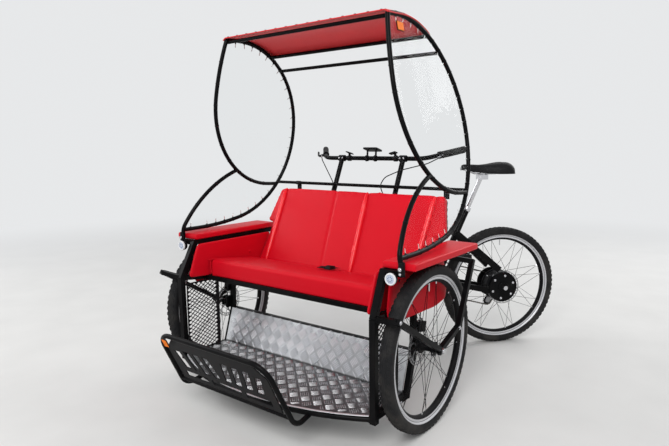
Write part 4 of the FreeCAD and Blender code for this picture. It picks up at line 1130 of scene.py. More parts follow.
class RICKSHAW_OT_arms(bpy.types.Operator):
    """Builds the padded armrests and the red panels at the seat's sides"""

    bl_idname = "rickshaw.arms"
    bl_label = "Armrests and side panels"

    def execute(self, context):
        for name, side in SIDES:
            self.armrest(name)
            self.panels(name, side)
        return {"FINISHED"}

    def armrest(self, name):
        low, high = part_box(f"armrest_{name}")
        centre, size = (low + high) / 2, high - low
        round_off = 0.0075
        corners = []
        for cx, cz, turn in ((1, 1, 0), (-1, 1, 90), (-1, -1, 180), (1, -1, 270)):
            corners += [(cx, cz, math.radians(turn + step * 15)) for step in range(7)]
        rings = []
        ends = [(0.0005, 0.0052), (0.0022, 0.0022), (0.0055, 0.0005), (0.0085, 0.0)]
        spots = ends + [(size.y * k / 12, 0.0) for k in range(1, 12)] + [(size.y - a, b) for a,
                                                                         b in ends[::-1]]
        for along, inset in spots:
            crown = 0.0010 * (1 - (2 * along / size.y - 1) ** 2)
            ring = []
            for cx, cz, turn in corners:
                x = cx * (size.x / 2 - round_off - inset) + round_off * math.cos(turn)
                z = cz * (size.z / 2 - round_off - inset) + round_off * math.sin(turn)
                ring.append(Vector((centre.x + x, low.y + along,
                                    centre.z + z * 0.985 + (crown if cz > 0 else 0))))
            rings.append(ring)
        shell = Shell().skin(rings)
        cover = shell.piece(f"armrest_{name}_cover", ["vinyl"], "pod", "red_vinyl", [f"armrest_{name}"],
                            smooth=60)
        welt = Shell()
        z = low.z + 0.0065
        x0, x1, y0, y1 = low.x + 0.002, high.x - 0.002, low.y + 0.003, high.y - 0.003
        r = 0.008
        path = []
        for cx, cy, a in ((x1 - r, y1 - r, 0), (x0 + r, y1 - r, 90), (x0 + r, y0 + r, 180),
                          (x1 - r, y0 + r, 270)):
            for d in (0, 30, 60, 90):
                t = math.radians(a + d)
                path.append(Vector((cx + r * math.cos(t), cy + r * math.sin(t), z)))
        welt.sweep(path, 0.0022, sides=8, loop=True)
        welt.piece(f"armrest_{name}_welt", ["vinyl"], "pod", "red_vinyl")

    def panels(self, name, side):
        shell = Shell()
        for x, thick, rows in SIDE_SHEETS:
            outline = soft_outline([Vector((y, z)) for y, z in rows], 0.022)
            rings = []
            for share, depth in ((0.9, -1.0), (0.975, -0.95), (0.995, -0.6), (1.0, 0.0), (0.995, 0.6),
                                 (0.975, 0.95), (0.9, 1.0), (0.6, 1.12), (0.25, 1.18)):
                mid = sum(outline, Vector((0, 0))) / len(outline)
                rings.append([pod(side * (x + thick / 2 * depth * 0.96), *(mid + (p - mid) * share))
                              for p in outline])
            shell.skin(rings)
        cover = shell.piece(f"side_panel_{name}_cover", ["vinyl"], "pod", "red_vinyl",
                            [f"side_panel_{name}"], smooth=60)


def soft_outline(points, radius, steps=5):
    """A closed outline with its corners rounded."""
    count = len(points)
    found = []
    for i, corner in enumerate(points):
        before, after = points[i - 1], points[(i + 1) % count]
        back, on = before - corner, after - corner
        cut = min(radius, back.length * 0.45, on.length * 0.45)
        a, b = corner + back.normalized() * cut, corner + on.normalized() * cut
        for k in range(steps + 1):
            t = k / steps
            found.append(a * (1 - t) ** 2 + corner * (2 * t * (1 - t)) + b * t * t)
    return found


# ---- canopy and windows ----

HOOP_LEAN = math.radians(10.33)
HOOP_X, HOOP_Z = 0.507, 1.266
HOOP_RADIUS = 0.0095
SEAM_START = (-0.060, 0.3568)
FRONT_RUN = (SEAM_START, -103.7, ((1.1608, 13.04), (0.439, 74), (0.440, 12), (1.200, 3.9)))
REAR_RUN = (SEAM_START, 12.5, ((0.4504, -102.69), (0.445, -78.95), (1.4275, -10.86)))
LOWER_RUN = ((-0.228, -0.550), 90.0, ((0.0655, -29.15), (0.554, -42.14)))


def arc_points(start, heading, rows, step=0.012):
    """Points along tangent arcs in a plane. Each row is (radius, turn in degrees)."""
    here, angle = Vector(start), math.radians(heading)
    points = [here.copy()]
    for radius, turn in rows:
        left = Vector((-math.sin(angle), math.cos(angle)))
        centre = here + left * math.copysign(radius, turn)
        arm, turn = here - centre, math.radians(turn)
        count = max(3, int(abs(turn) * radius / step))
        for i in range(1, count + 1):
            t = turn * i / count
            c, s = math.cos(t), math.sin(t)
            points.append(centre + Vector((arm.x * c - arm.y * s, arm.x * s + arm.y * c)))
        here, angle = points[-1].copy(), angle + turn
    return points


def on_hoop(side, point, out=0.0):
    """A point of a leaning side hoop's plane, from its place in the upright plane."""
    turn = Matrix.Rotation(-side * HOOP_LEAN, 3, "Y")
    return pod(side * HOOP_X, 0, HOOP_Z) + turn @ Vector((side * out, point[0], point[1]))


def even(points, count):
    """Evenly spaced points along a polyline."""
    lengths = [0.0]
    for a, b in zip(points, points[1:]):
        lengths.append(lengths[-1] + (b - a).length)
    found, k = [], 0
    for i in range(count):
        want = lengths[-1] * i / (count - 1)
        while k < len(points) - 2 and lengths[k + 1] < want:
            k += 1
        span = lengths[k + 1] - lengths[k]
        found.append(points[k].lerp(points[k + 1], min(max((want - lengths[k]) / span, 0), 1)))
    return found


def window_edges():
    """The two long edges of the upper pane and of the lower one, each from one end to the other."""
    front, back, low = arc_points(*FRONT_RUN), arc_points(*REAR_RUN), arc_points(*LOWER_RUN)
    meeting = front[-1].y
    back_high = [p for p in back if p.y > meeting]
    back_low = [p for p in back if p.y <= meeting]
    front_low = [p for p in front if p.x > low[-1].x and p.y < 0]
    return (front, back_high + [front[-1]]), (low + front_low, (back_low[::-1]) + [front[-1]])


def thicken(sheet, thickness):
    """Gives a single surface its thickness, half to each side."""
    thick = sheet.modifiers.new("Thickness", "SOLIDIFY")
    thick.thickness = thickness
    thick.offset = 0.0


UPPER_PANE = (0.75, 0.90, 0.40)  # width, length and area of the cut
LOWER_PANE = (0.62, 0.60, 0.12)


class RICKSHAW_OT_windows(bpy.types.Operator):
    """Stretches the clear sheets in the side hoops and ties them on"""

    bl_idname = "rickshaw.windows"
    bl_label = "Clear side windows"

    def execute(self, context):
        edges = window_edges()
        for name, side in SIDES:
            for part, (a, b), flat in (("upper", edges[0], UPPER_PANE), ("lower", edges[1], LOWER_PANE)):
                self.pane(name, side, part, a, b, flat)
            self.ties(name, side)
        return {"FINISHED"}

    def pane(self, name, side, part, a, b, flat):
        rows, columns = 64, 40
        first, second = even(a, rows), even(b, rows)
        shell = Shell()
        rings = []
        for j, (p, q) in enumerate(zip(first, second)):
            ring = []
            for i in range(columns):
                u = i / (columns - 1)
                spot = p.lerp(q, u)
                depth = min(u, 1 - u) * (q - p).length
                free = min(depth / 0.07, 1.0)
                free = free * free * (3 - 2 * free)
                slow = noise.noise(Vector((spot.x * 3.1 + side, spot.y * 2.3, 4.0)))
                fold = noise.noise(Vector((spot.x * 9.0, spot.y * 3.0 + side * 3, 9.0)))
                pull = math.sin(j * 2 * math.pi / 3.3) * 0.0008 * math.exp(-depth / 0.02)
                ring.append(on_hoop(side, spot, (slow * 0.010 + fold * 0.0026) * free + pull))
            rings.append(ring)
        shell.skin(rings, closed=False)
        replaced = [f"window_{name}"] if part == "upper" else []
        sheet = shell.piece(f"window_{name}_{part}", ["clear"], "pod", "clear_vinyl", replaced, smooth=180)
        thicken(sheet, 0.0008)

    def ties(self, name, side):
        """Nylon ties round the hoop's tube; those on the rear run and the bottom also have a head and a cut
        tail.
        """
        shell = Shell()
        front, back, low = arc_points(*FRONT_RUN), arc_points(*REAR_RUN), arc_points(*LOWER_RUN)
        bottom = [back[-1], Vector((low[0].x, back[-1].y))]
        tail = sizes().tie_length
        for run, gap, inward, tailed in ((front, 0.085, 1, 0), (back, 0.055, -1, 1), (low, 0.090, -1, 0),
                                         (bottom, 0.045, -1, 1)):
            length = sum((b - a).length for a, b in zip(run, run[1:]))
            spots = even(run, max(3, int(length / gap)))
            for k in range(1, len(spots) - 1):
                way = (spots[k + 1] - spots[k - 1]).normalized()
                out = Vector((way.y, -way.x)) * inward
                ring = []
                for t in range(12):
                    a = 2 * math.pi * t / 12
                    r = HOOP_RADIUS + 0.0006
                    ring.append(on_hoop(side, spots[k] + out * (r * math.cos(a)), r * math.sin(a)))
                flat_way = (on_hoop(side, spots[k] + way) - on_hoop(side, spots[k])).normalized()
                centre = on_hoop(side, spots[k])
                rings = []
                for p in ring:
                    lift = (p - centre).normalized() * 0.0006
                    rings.append([p + flat_way * 0.0016 - lift, p + flat_way * 0.0016 + lift,
                                  p - flat_way * 0.0016 + lift, p - flat_way * 0.0016 - lift])
                shell.skin(rings, loop=True)
                if not tailed:
                    continue
                up = (on_hoop(side, spots[k] - out) - centre).normalized()
                face = up.cross(flat_way)
                head = centre + up * (HOOP_RADIUS + 0.002)
                m = Matrix((flat_way, face, up)).transposed().to_4x4()
                m.translation = head
                shell.block((0.0050, 0.0040, 0.0048), m)
                wobble = 0.5 * noise.noise(Vector((k * 1.7, side * 2.0, gap * 90)))
                end = head + (up + flat_way * wobble + face * wobble * 0.6).normalized() * tail
                # The tail is painted pale as its glint.
                shell.sweep([head, head.lerp(end, 0.5), end], [0.0026, 0.0026, 0.0022], sides=6, flat=0.25,
                            up=face, paint=1)
        shell.piece(f"window_{name}_ties", ["moulded", "tie_tail_painted_glint"], "pod", "clear_vinyl")


class RICKSHAW_OT_canopy(bpy.types.Operator):
    """Stretches the roof's cloth over its bars, with its hems and snaps"""

    bl_idname = "rickshaw.canopy"
    bl_label = "Canopy"

    half, fold = 0.452, 0.438  # half the cloth's width, and where it starts to turn down
    rise = ((-0.070, 1.6291), (-0.050, 1.6307), (0.020, 1.6358), (0.085, 1.6371), (0.150, 1.6305),
            (0.220, 1.6108), (0.250, 1.5985), (0.262, 1.5881))

    def line(self, count):
        return spline([Vector((0, y, z)) for y, z in self.rise], count)

    def at(self, x, spot):
        edge = max(abs(x) - self.fold, 0.0) / (self.half - self.fold)
        between = math.sin(math.pi * min(max((spot.y + 0.05) / 0.297, 0), 1))
        sag = 0.0035 * between * (1 - (x / self.half) ** 2)
        pull = 0.0016 * noise.noise(Vector((x * 5, spot.y * 11, 2.0))) * between
        drop = 0.009 * edge * edge
        return pod(x, spot.y, spot.z - sag + pull - drop)

    def execute(self, context):
        lines = self.line(26)
        columns = 61
        shell = Shell()
        xs = [-self.half + 2 * self.half * i / (columns - 1) for i in range(columns)]
        shell.skin([[self.at(x, spot) for x in xs] for spot in lines], closed=False)
        cover = shell.piece("canopy_cloth", ["canopy"], "pod", "red_fabric", ["canopy_cover"], smooth=180)
        thicken(cover, 0.0014)
        hems = self.hems(xs, lines)
        snaps = self.snaps(lines)
        return {"FINISHED"}

    def hems(self, xs, lines):
        shell = Shell()
        for row, step in ((0, 1), (-1, -1)):
            band = [lines[row], lines[row + step], lines[row + 2 * step]]
            rings = []
            for x in xs:
                low = [self.at(x, p) for p in band]
                rings.append([low[0] + Vector((0, -0.0012 * step, 0.001))]
                             + [p + Vector((0, 0, 0.0022)) for p in low]
                             + [low[2] + Vector((0, 0, 0.0006)), low[0] + Vector((0, 0, -0.0016))])
            shell.skin(rings)
            shell.sweep([self.at(x, band[0]) + Vector((0, -0.001 * step, -0.0006)) for x in xs], 0.0026,
                        sides=8)
        for side in (-1, 1):
            edge = [self.at(side * self.half, spot) for spot in lines]
            shell.sweep(edge, 0.0026, sides=8)
            inner = [[self.at(side * x, spot) + Vector((0, 0, z)) for x, z in
                      ((0.450, 0.0012), (0.440, 0.0022), (0.426, 0.0020), (0.424, 0.0007))] for spot in lines]
            shell.skin(inner, closed=False)
        stitch = Shell()
        for row, step in ((0, 1), (-1, -1)):
            seam = [self.at(x, lines[row].lerp(lines[row + 2 * step], 0.86)) + Vector((0, 0, 0.0024))
                    for x in xs]
            for a, b in zip(seam, seam[1:]):
                for k in range(3):
                    start, stop = a.lerp(b, (k + 0.15) / 3), a.lerp(b, (k + 0.8) / 3)
                    stitch.sweep([start, stop], 0.0006, sides=4)
        stitch.piece("canopy_stitches", ["thread"], "pod", "red_fabric")
        return shell.piece("canopy_hems", ["canopy"], "pod", "red_fabric", smooth=60)

    def snaps(self, lines):
        shell = Shell()
        spot = lines[0].lerp(lines[2], 0.45)
        count = 15
        for i in range(count):
            x = -0.42 + 0.84 * i / (count - 1)
            base = self.at(x, spot) + Vector((0, 0, 0.0018))
            m = basis((0, -0.12, 1), (1, 0, 0), base)
            shell.turn([(0, 0.0055), (0.0012, 0.0055), (0.0024, 0.0040), (0.0028, 0.0001)], m, steps=14)
        return shell.piece("canopy_snaps", ["satin"], "pod", "red_fabric")


# ---- floor, steps and lamps ----

FLOOR_FRONT = 0.434  # how far ahead of the axle the floor's front edge reaches
TREAD_HALF = 0.500  # half the width with bars


def tread_bar(shell, matrix, long, wide, tall):
    """One raised lens-shaped bar on the matrix's XY plane."""
    rim = ((-1, 0), (-0.55, -1), (0.55, -1), (1, 0), (0.55, 1), (-0.55, 1))
    low = [matrix @ Vector((a * long / 2, b * wide / 2, 0)) for a, b in rim]
    high = [matrix @ Vector((a * long / 2 * 0.80, b * wide / 2 * 0.42, tall)) for a, b in rim]
    shell.skin([low, high], caps=False)
    shell.add(high, [tuple(range(6))])


class RICKSHAW_OT_floor(bpy.types.Operator):
    """Raises the bars of the tread plate on the floor and riser, and lays the bright front edge"""

    bl_idname = "rickshaw.floor"
    bl_label = "Tread plate"

    def execute(self, context):
        side = sizes().tread_pitch
        back, riser = -0.056, 0.166
        slope = Vector((0, 0.051, 0.166)).normalized()
        flat = basis((1, 0, 0), (0, 1, 0), pod(0, back, 0.1441))
        rising = basis((1, 0, 0), slope, pod(0, -0.0592, 0.1500) - Vector((0, 0.0012, 0)))
        shell, steep = Shell(), Shell()
        reach = int(0.9 / side)
        for i in range(-reach, reach):
            for j in range(-reach, reach):
                for k in range(5):
                    shift = (k - 2) * side * 0.18
                    across, along = (i + 0.5) * side, (j + 0.5) * side
                    turned = (i + j) % 2
                    across, along = (across + shift, along) if turned else (across, along + shift)
                    x, y = (across - along) / math.sqrt(2), (across + along) / math.sqrt(2)
                    turn = Matrix.Rotation(math.radians(135 if turned else 45), 4, "Z")
                    at = Matrix.Translation((x, y, 0)) @ turn
                    if y < -0.006 and self.inside(x, back + y):
                        tread_bar(shell, flat @ at, side * 0.85, side * 0.095, 0.0012)
                    elif 0.008 < y < riser - 0.006 and abs(x) < TREAD_HALF:
                        tread_bar(steep, rising @ at, side * 0.85, side * 0.095, 0.0012)
        # The floor's bars carry painted shade and the riser's bars a painted highlight.
        shell.piece("floor_tread", ["floor_bars_painted_shaded"], "pod", "floor_aluminium", smooth=15)
        steep.piece("riser_tread", ["riser_bars_painted_lit"], "pod", "floor_aluminium", smooth=15)
        self.lip()
        return {"FINISHED"}

    def edge_radius(self):
        """The radius of the curved front edge through its corners and its foremost point."""
        half, sagitta = 0.530, FLOOR_FRONT - 0.292
        return (half * half + sagitta * sagitta) / (2 * sagitta)

    def inside(self, x, y):
        """Whether a bar centred here stays on the floor sheet, clear of its curved edge."""
        radius = self.edge_radius()
        return abs(x) < TREAD_HALF and math.hypot(x, y + FLOOR_FRONT - radius) < radius - 0.020

    def lip(self):
        """The thin bright front edge over the curved rail."""
        radius = self.edge_radius()
        half = math.asin(0.520 / radius)
        shell = Shell()
        rings = []
        for i in range(49):
            t = -half + 2 * half * i / 48
            def spot(r, height):
                return pod(r * math.sin(t), -FLOOR_FRONT + radius - r * math.cos(t), height)
            rings.append([spot(radius - 0.004, 0.1442), spot(radius + 0.004, 0.1436),
                          spot(radius + 0.0045, 0.1424),
                          spot(radius - 0.004, 0.1412)])
        shell.skin(rings)
        # The lip takes the riser bars' metal, which is painted bright.
        shell.piece("floor_lip", ["riser_bars_painted_lit"], "pod", "floor_aluminium")


class RICKSHAW_OT_lamps(bpy.types.Operator):
    """Builds the two headlights with their rings and lenses"""

    bl_idname = "rickshaw.lamps"
    bl_label = "Headlights"

    def execute(self, context):
        for name, _ in SIDES:
            low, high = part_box(f"headlight_{name}")
            centre = (low + high) / 2
            m = basis((0, 1, 0), (1, 0, 0), Vector((centre.x, low.y, centre.z)))
            shell = Shell()
            shell.turn([(0.0030, 0.0165), (0.0004, 0.0175), (0.0, 0.0192), (0.0008, 0.0212), (0.0045, 0.0228),
                        (0.0062, 0.0228)], m, steps=40, paint=0)
            shell.turn([(0.0062, 0.0226), (0.0066, 0.0214), (0.0085, 0.0214), (0.0088, 0.0222),
                        (0.0180, 0.0216), (0.0245, 0.0185), (0.0285, 0.0135), (0.0288, 0.0060),
                        (0.0288, 0.0001)], m, steps=40, paint=1)
            shell.turn([(0.0030, 0.0166), (0.0014, 0.0120), (0.0007, 0.0060), (0.0006, 0.0001)], m, steps=40,
                       paint=2)
            for k in range(8):
                t = 2 * math.pi * k / 8 + 0.3
                spot = m @ Vector((0.0016, 0.0085 * math.cos(t), 0.0085 * math.sin(t)))
                shell.turn([(0, 0.0026), (-0.0010, 0.0020), (-0.0014, 0.0001)],
                           basis((0, 1, 0), (1, 0, 0), spot), steps=10, paint=3)
            shell.piece(f"headlight_{name}_built", ["white", "moulded", "lamp", "lamp_dark"], "pod",
                        "lamp_white", [f"headlight_{name}"])
        return {"FINISHED"}


def bolt(shell, spot, way, radius, paint, tall=0.6):
    """A cap-head bolt with a washer, standing out along the way."""
    m = basis(way, (0, 0, 1) if abs(Vector(way).normalized().z) < 0.9 else (1, 0, 0), spot)
    h = radius * tall
    shell.turn([(0, radius * 1.45), (h * 0.25, radius * 1.45), (h * 0.25, radius)], m, steps=20, paint=paint)
    shell.turn([(h * 0.25, radius), (h * 1.15, radius), (h * 1.3, radius * 0.82), (h * 1.3, radius * 0.5),
                (h * 0.7, radius * 0.45), (h * 0.7, 0.0001)], m, steps=20, paint=paint)


class RICKSHAW_OT_fittings(bpy.types.Operator):
    """Adds hoop brackets, bolts, belts, buckles and reflectors to the pod"""

    bl_idname = "rickshaw.fittings"
    bl_label = "Brackets, bolts and belts"

    def execute(self, context):
        for name, side in SIDES:
            self.brackets(name, side)
        self.belts()
        self.reflectors()
        return {"FINISHED"}

    def brackets(self, name, side):
        shell = Shell()
        foot = on_hoop(side, (-0.228, -0.585))
        m = basis((0, 0, 1), (1, 0, 0), foot - Vector((0, 0, 0.022)))
        shell.turn([(0, 0.0001), (0, 0.0115), (0.002, 0.0125), (0.046, 0.0125), (0.048, 0.0115),
                    (0.048, 0.0098)], m, steps=24, paint=0)
        bolt(shell, foot + Vector((0, -0.0125, 0.002)), (0, -1, 0), 0.0050, 1)
        bolt(shell, foot + Vector((0, -0.0125, -0.016)), (0, -1, 0), 0.0035, 1)
        rail_y, rail_z = 0.155, 0.384
        bolt(shell, pod(side * 0.6655, rail_y, rail_z), (side, 0, 0), 0.0055, 1)
        bolt(shell, pod(side * 0.6655, -0.322, 0.530), (side, 0, 0), 0.0050, 1)
        for y in (-0.15, 0.02):
            spot = pod(side * 0.5565, y, 0.628)
            shell.turn([(0, 0.006), (side * 0.001, 0.0058), (side * 0.0024, 0.003), (side * 0.0026, 0.0001)],
                       basis((1, 0, 0), (0, 1, 0), spot), steps=14, paint=2)
        spot = pod(side * 0.4968, 0.105, 0.585)
        shell.turn([(0, 0.0075), (-side * 0.0014, 0.007), (-side * 0.003, 0.004), (-side * 0.0032, 0.0001)],
                   basis((1, 0, 0), (0, 1, 0), spot), steps=14, paint=3)
        shell.piece(f"fittings_{name}", ["satin", "alloy", "satin", "vinyl"], "pod", "frame_black")

    def reflectors(self):
        """Amber reflectors at the step guard's corner and under the canopy's front corner."""
        shell = Shell()
        face = Vector((0, -0.89, -0.45))
        corner = basis((1, 0, 0), Vector((1, 0, 0)).cross(face), pod(-0.2520, -0.6080, 0.3470))
        spot, along, up = (on_hoop(1, point, 0.006) for point in ((0.010, 0.317), (0.060, 0.317),
                                                                  (0.010, 0.367)))
        for (wide, tall), m in (((0.026, 0.036), corner),
                                ((0.045, 0.032), basis(along - spot, up - spot, spot))):
            shell.block((wide, tall, 0.007), m, paint=0)
            shell.block((wide + 0.005, tall + 0.005, 0.004), m, paint=1)
        shell.piece("reflectors", ["amber", "moulded"], "pod", "brake_black", bevel=0.001)

    def belts(self):
        """Two lap belts that come out between cushion and backrest, and end in buckles."""
        shell = Shell()
        for x, reach, kind in ((0.030, 0.072, 0), (0.050, 0.060, 1)):
            path = [pod(x, 0.150, 0.556), pod(x * 1.1, 0.128, 0.563), pod(x * 1.3, 0.105, 0.566),
                    pod(x * 1.5, 0.128 - reach, 0.574)]
            shell.sweep(spline(path, 12), 0.0115, sides=8, flat=0.09, up=(0, 0, 1), paint=0)
            end = path[-1]
            m = basis((1, 0, 0), (0, 1, -0.12), end + Vector((0, -0.016, 0.006)))
            if kind:
                shell.block((0.030, 0.048, 0.014), m, paint=1, taper=0.85)
                shell.block((0.016, 0.014, 0.004), m @ Matrix.Translation((0, -0.012, 0.008)), paint=2,
                            taper=0.9)
            else:
                shell.block((0.028, 0.026, 0.008), m, paint=1, taper=0.85)
                shell.block((0.018, 0.024, 0.003), m @ Matrix.Translation((0, -0.024, 0)), paint=2,
                            taper=0.95)
        for x in (-0.41, 0.47):
            shell.turn([(0, 0.0081), (0, 0.0100), (0.028, 0.0100), (0.028, 0.0081)],
                       basis((1, 0, 0), (0, 0, 1), pod(x - 0.014, 0.403, 0.929)), steps=20, paint=1)
            shell.block((0.028, 0.004, 0.046), basis((1, 0, 0), (0, 1, 0), pod(x, 0.411, 0.906)), paint=1)
        shell.piece("belts", ["webbing", "moulded", "satin"], "pod", "brake_black", bevel=0.0008)


# ---- handlebar, saddle and drive ----

BAR_END, BAR_BEND = Vector((0.436, 0.681, 1.108)), Vector((0.300, 0.510, 1.062))


class RICKSHAW_OT_handlebar(bpy.types.Operator):
    """Builds ribbed grips, shaped brake levers, the display plate and the bar's clamps"""

    bl_idname = "rickshaw.handlebar"
    bl_label = "Handlebar"

    def execute(self, context):
        way = (BAR_END - BAR_BEND).normalized()
        grips = Shell()
        levers = Shell()
        for side in (1, -1):
            def place_of(point):
                return pod(side * point.x, point.y, point.z)
            start = place_of(BAR_END - way * 0.125)
            end = place_of(BAR_END)
            along = (end - start).normalized()
            m = basis(along, (0, 0, 1), start)
            profile = [(0.0, 0.0112), (0.0, 0.0158), (0.005, 0.0160), (0.007, 0.0142)]
            for k in range(16):
                a = 0.009 + k * 0.0066
                profile += [(a, 0.0140), (a + 0.001, 0.0157), (a + 0.0042, 0.0157), (a + 0.0052, 0.0140)]
            profile += [(0.117, 0.0142), (0.119, 0.0160), (0.124, 0.0158), (0.1255, 0.013), (0.1257, 0.0001)]
            grips.turn(profile, m, steps=28)
            self.lever(levers, way, place_of)
        grips.piece("grips_ribbed", ["grip"], "pod", "grip_rubber", ["grips"], smooth=50)
        levers.piece("levers_shaped", ["satin", "steel", "moulded"], "pod", "brake_black",
                     ["brake_levers"], bevel=0.0007)
        self.centre()
        return {"FINISHED"}

    def lever(self, shell, way, place_of):
        ahead = Vector((way.y, -way.x, -0.25)).normalized()
        clamp = BAR_END - way * 0.147
        a, b = place_of(clamp), place_of(clamp + way * 0.016)
        along = (b - a).normalized()
        m = basis(along, (0, 0, 1), a)
        shell.turn([(0, 0.0114), (0, 0.0170), (0.001, 0.0178), (0.015, 0.0178), (0.016, 0.0170),
                    (0.016, 0.0114)], m, steps=28, paint=0)
        root = clamp + way * 0.008 + ahead * 0.013
        elbow = clamp + way * 0.008 + ahead * 0.040
        knee = elbow + way * 0.030 + ahead * 0.003
        tip = elbow + way * 0.112 + ahead * 0.004
        body = [place_of(p) for p in (root, root.lerp(elbow, 0.5), elbow)]
        shell.sweep(spline(body, 8), [0.0088, 0.0090, 0.0090, 0.0086, 0.0082, 0.0080, 0.0076, 0.0066],
                    sides=12, flat=0.8, paint=0)
        blade = spline([place_of(p) for p in (root.lerp(elbow, 0.75), elbow + way * 0.004, knee, tip)], 22)
        widths = [0.0058 - 0.0016 * abs(i / 21 - 0.55) for i in range(22)]
        widths[-1] = 0.0052
        shell.sweep(blade, widths, sides=12, flat=0.62, up=(0, 0, 1), paint=0)
        pivot = place_of(elbow - ahead * 0.010)
        bolt(shell, pivot + Vector((0, 0, 0.0068)), (0, 0, 1), 0.0036, 1)
        guide = place_of(root.lerp(elbow, 0.45))
        inward = (a - b).normalized()
        shell.sweep([guide, guide + inward * 0.016, guide + inward * 0.024], [0.0042, 0.0042, 0.0030],
                    sides=12, paint=1)
        bolt(shell, a + along * 0.008 + Vector((0, 0, -0.0176)), (0, 0, -1), 0.0032, 1)

    def centre(self):
        shell = Shell()
        for side in (1, -1):
            clamp = pod(side * 0.187, 0.505, 1.062)
            m = basis((1, 0, 0), (0, 0, 1), clamp - Vector((0.019, 0, 0)))
            shell.turn([(0, 0.0113), (0, 0.0155), (0.0015, 0.0168), (0.0365, 0.0168), (0.038, 0.0155),
                        (0.038, 0.0113)], m, steps=28, paint=0)
            for dx in (-0.011, 0.011):
                bolt(shell, clamp + Vector((dx, -0.0168, 0.002)), (0, -1, 0), 0.003, 1)
            fin = basis((1, 0, 0.25 * side), (0, 1, -0.3), pod(side * 0.134 - 0.001, 0.500, 1.090))
            shell.block((0.040, 0.026, 0.006), fin, paint=2, taper=0.85)
            shell.sweep([pod(side * 0.142, 0.5095, 1.074), pod(side * 0.138, 0.503, 1.089)], 0.0065, sides=12,
                        paint=2)
            shell.turn([(0, 0.0113), (0, 0.0150), (0.018, 0.0150), (0.018, 0.0113)],
                       basis((1, 0, 0), (0, 0, 1), pod(side * 0.142 - 0.009, 0.5095, 1.062)), steps=24,
                       paint=2)
        shell.piece("handlebar_fittings", ["satin", "steel", "moulded"], "pod", "brake_black", bevel=0.0006)
        self.display()

    def display(self):
        """The flat display on its two arms."""
        shell = Shell()
        lean = basis((1, 0, 0), (0, 0.961, -0.276), pod(-0.006, 0.5228, 1.1067))
        rim = soft_outline([Vector((a * 0.044, b * 0.029)) for a, b in CORNERS], 0.009)
        rings = []
        for share, depth in ((0.92, -0.0045), (1.0, -0.0030), (1.0, 0.0030), (0.96, 0.0045), (0.90, 0.0045),
                             (0.88, 0.0038)):
            rings.append([lean @ Vector((p.x * share, p.y * share, depth)) for p in rim])
        shell.skin(rings)
        face = [lean @ Vector((p.x * 0.86, p.y * 0.86, 0.0042)) for p in rim]
        shell.add(face, [tuple(range(len(face)))], paint=1)
        for x in (-0.032, 0.020):
            shell.turn([(0, 0.0113), (0, 0.0150), (0.001, 0.0161), (0.011, 0.0161), (0.012, 0.0150),
                        (0.012, 0.0113)], basis((1, 0, 0), (0, 0, 1), pod(x - 0.006, 0.510, 1.062)), steps=24)
            shell.sweep([pod(x, 0.514, 1.075), pod(x, 0.516, 1.104)], 0.005, sides=12)
        shell.piece("display_built", ["moulded", "glass_dark"], "pod", "black_plastic", ["display"],
                    bevel=0.0005)


class RICKSHAW_OT_saddle(bpy.types.Operator):
    """Builds the saddle's padded top with its welt, and the post's collar"""

    bl_idname = "rickshaw.saddle"
    bl_label = "Saddle"

    rows = (  # along the frame, height of the top, half width, depth of the skirt
        (0.4425, 1.004, 0.006, 0.014), (0.446, 1.015, 0.0135, 0.024), (0.460, 1.0215, 0.019, 0.032),
        (0.500, 1.0205, 0.024, 0.038), (0.550, 1.0200, 0.034, 0.044), (0.600, 1.0235, 0.054, 0.052),
        (0.640, 1.0290, 0.072, 0.060), (0.680, 1.0330, 0.0825, 0.064), (0.708, 1.0290, 0.0825, 0.060),
        (0.727, 1.0150, 0.071, 0.046), (0.7345, 1.0000, 0.050, 0.026),
    )

    def execute(self, context):
        rings = []
        values = [spline([Vector((r[0], r[1], 0)) for r in self.rows], 44),
                  spline([Vector((r[2], r[3], 0)) for r in self.rows], 44)]
        for first, second in zip(*values):
            reach, top, half, deep = first.x, first.y, second.x, second.y
            ring = []
            for k in range(33):
                t = math.pi * k / 32
                c, s = math.cos(t), math.sin(t)
                x = half * math.copysign(abs(c) ** 0.62, c)
                dip = 0.006 * math.exp(-(x / 0.012) ** 2) * min(1.0, max(0.0, (reach - 0.52) / 0.06))
                z = top - deep * (1 - abs(s) ** 0.72) - dip
                ring.append(rear(x, reach, z))
            ring.append(rear(-half * 0.82, reach, top - deep * 1.02))
            ring.append(rear(0, reach, top - deep * 0.86))
            ring.append(rear(half * 0.82, reach, top - deep * 1.02))
            rings.append(ring)
        shell = Shell()
        shell.skin(rings)
        cover = shell.piece("saddle_cover", ["saddle"], "rear_frame", "saddle_black", ["saddle"], smooth=70)
        trim = Shell()
        for side in (-1, 1):
            line = []
            for k in range(0, 44):
                first, second = values[0][k], values[1][k]
                line.append(rear(side * second.x * 1.002, first.x, first.y - second.y * 0.93))
            trim.sweep(line, 0.0018, sides=8)
        trim.piece("saddle_welt", ["moulded"], "rear_frame", "brake_black")
        self.post()
        return {"FINISHED"}

    def post(self):
        shell = Shell()
        low, high = rear(0, 0.479, 0.768), rear(0, 0.5581, 0.945)
        way = (high - low).normalized()
        m = basis(way, AXLE_WAY, low - way * 0.004)
        shell.turn([(0, 0.0172), (0, 0.0205), (0.002, 0.0215), (0.022, 0.0215), (0.024, 0.0205),
                    (0.024, 0.0137)], m, steps=32, paint=0)
        out = way.cross(AXLE_WAY).normalized()
        for k in (-1, 1):
            spot = low + way * 0.008 - out * 0.0235 + AXLE_WAY * (0.006 * k)
            shell.block((0.009, 0.016, 0.020), basis(AXLE_WAY, -out, spot), paint=0, taper=0.9)
        bolt(shell, low + way * 0.008 - out * 0.026 + AXLE_WAY * 0.0105, AXLE_WAY, 0.0042, 1)
        shell.piece("seat_collar", ["alloy", "steel"], "rear_frame", "silver_alloy", bevel=0.0006)


# ---- chain, cranks, brakes ----

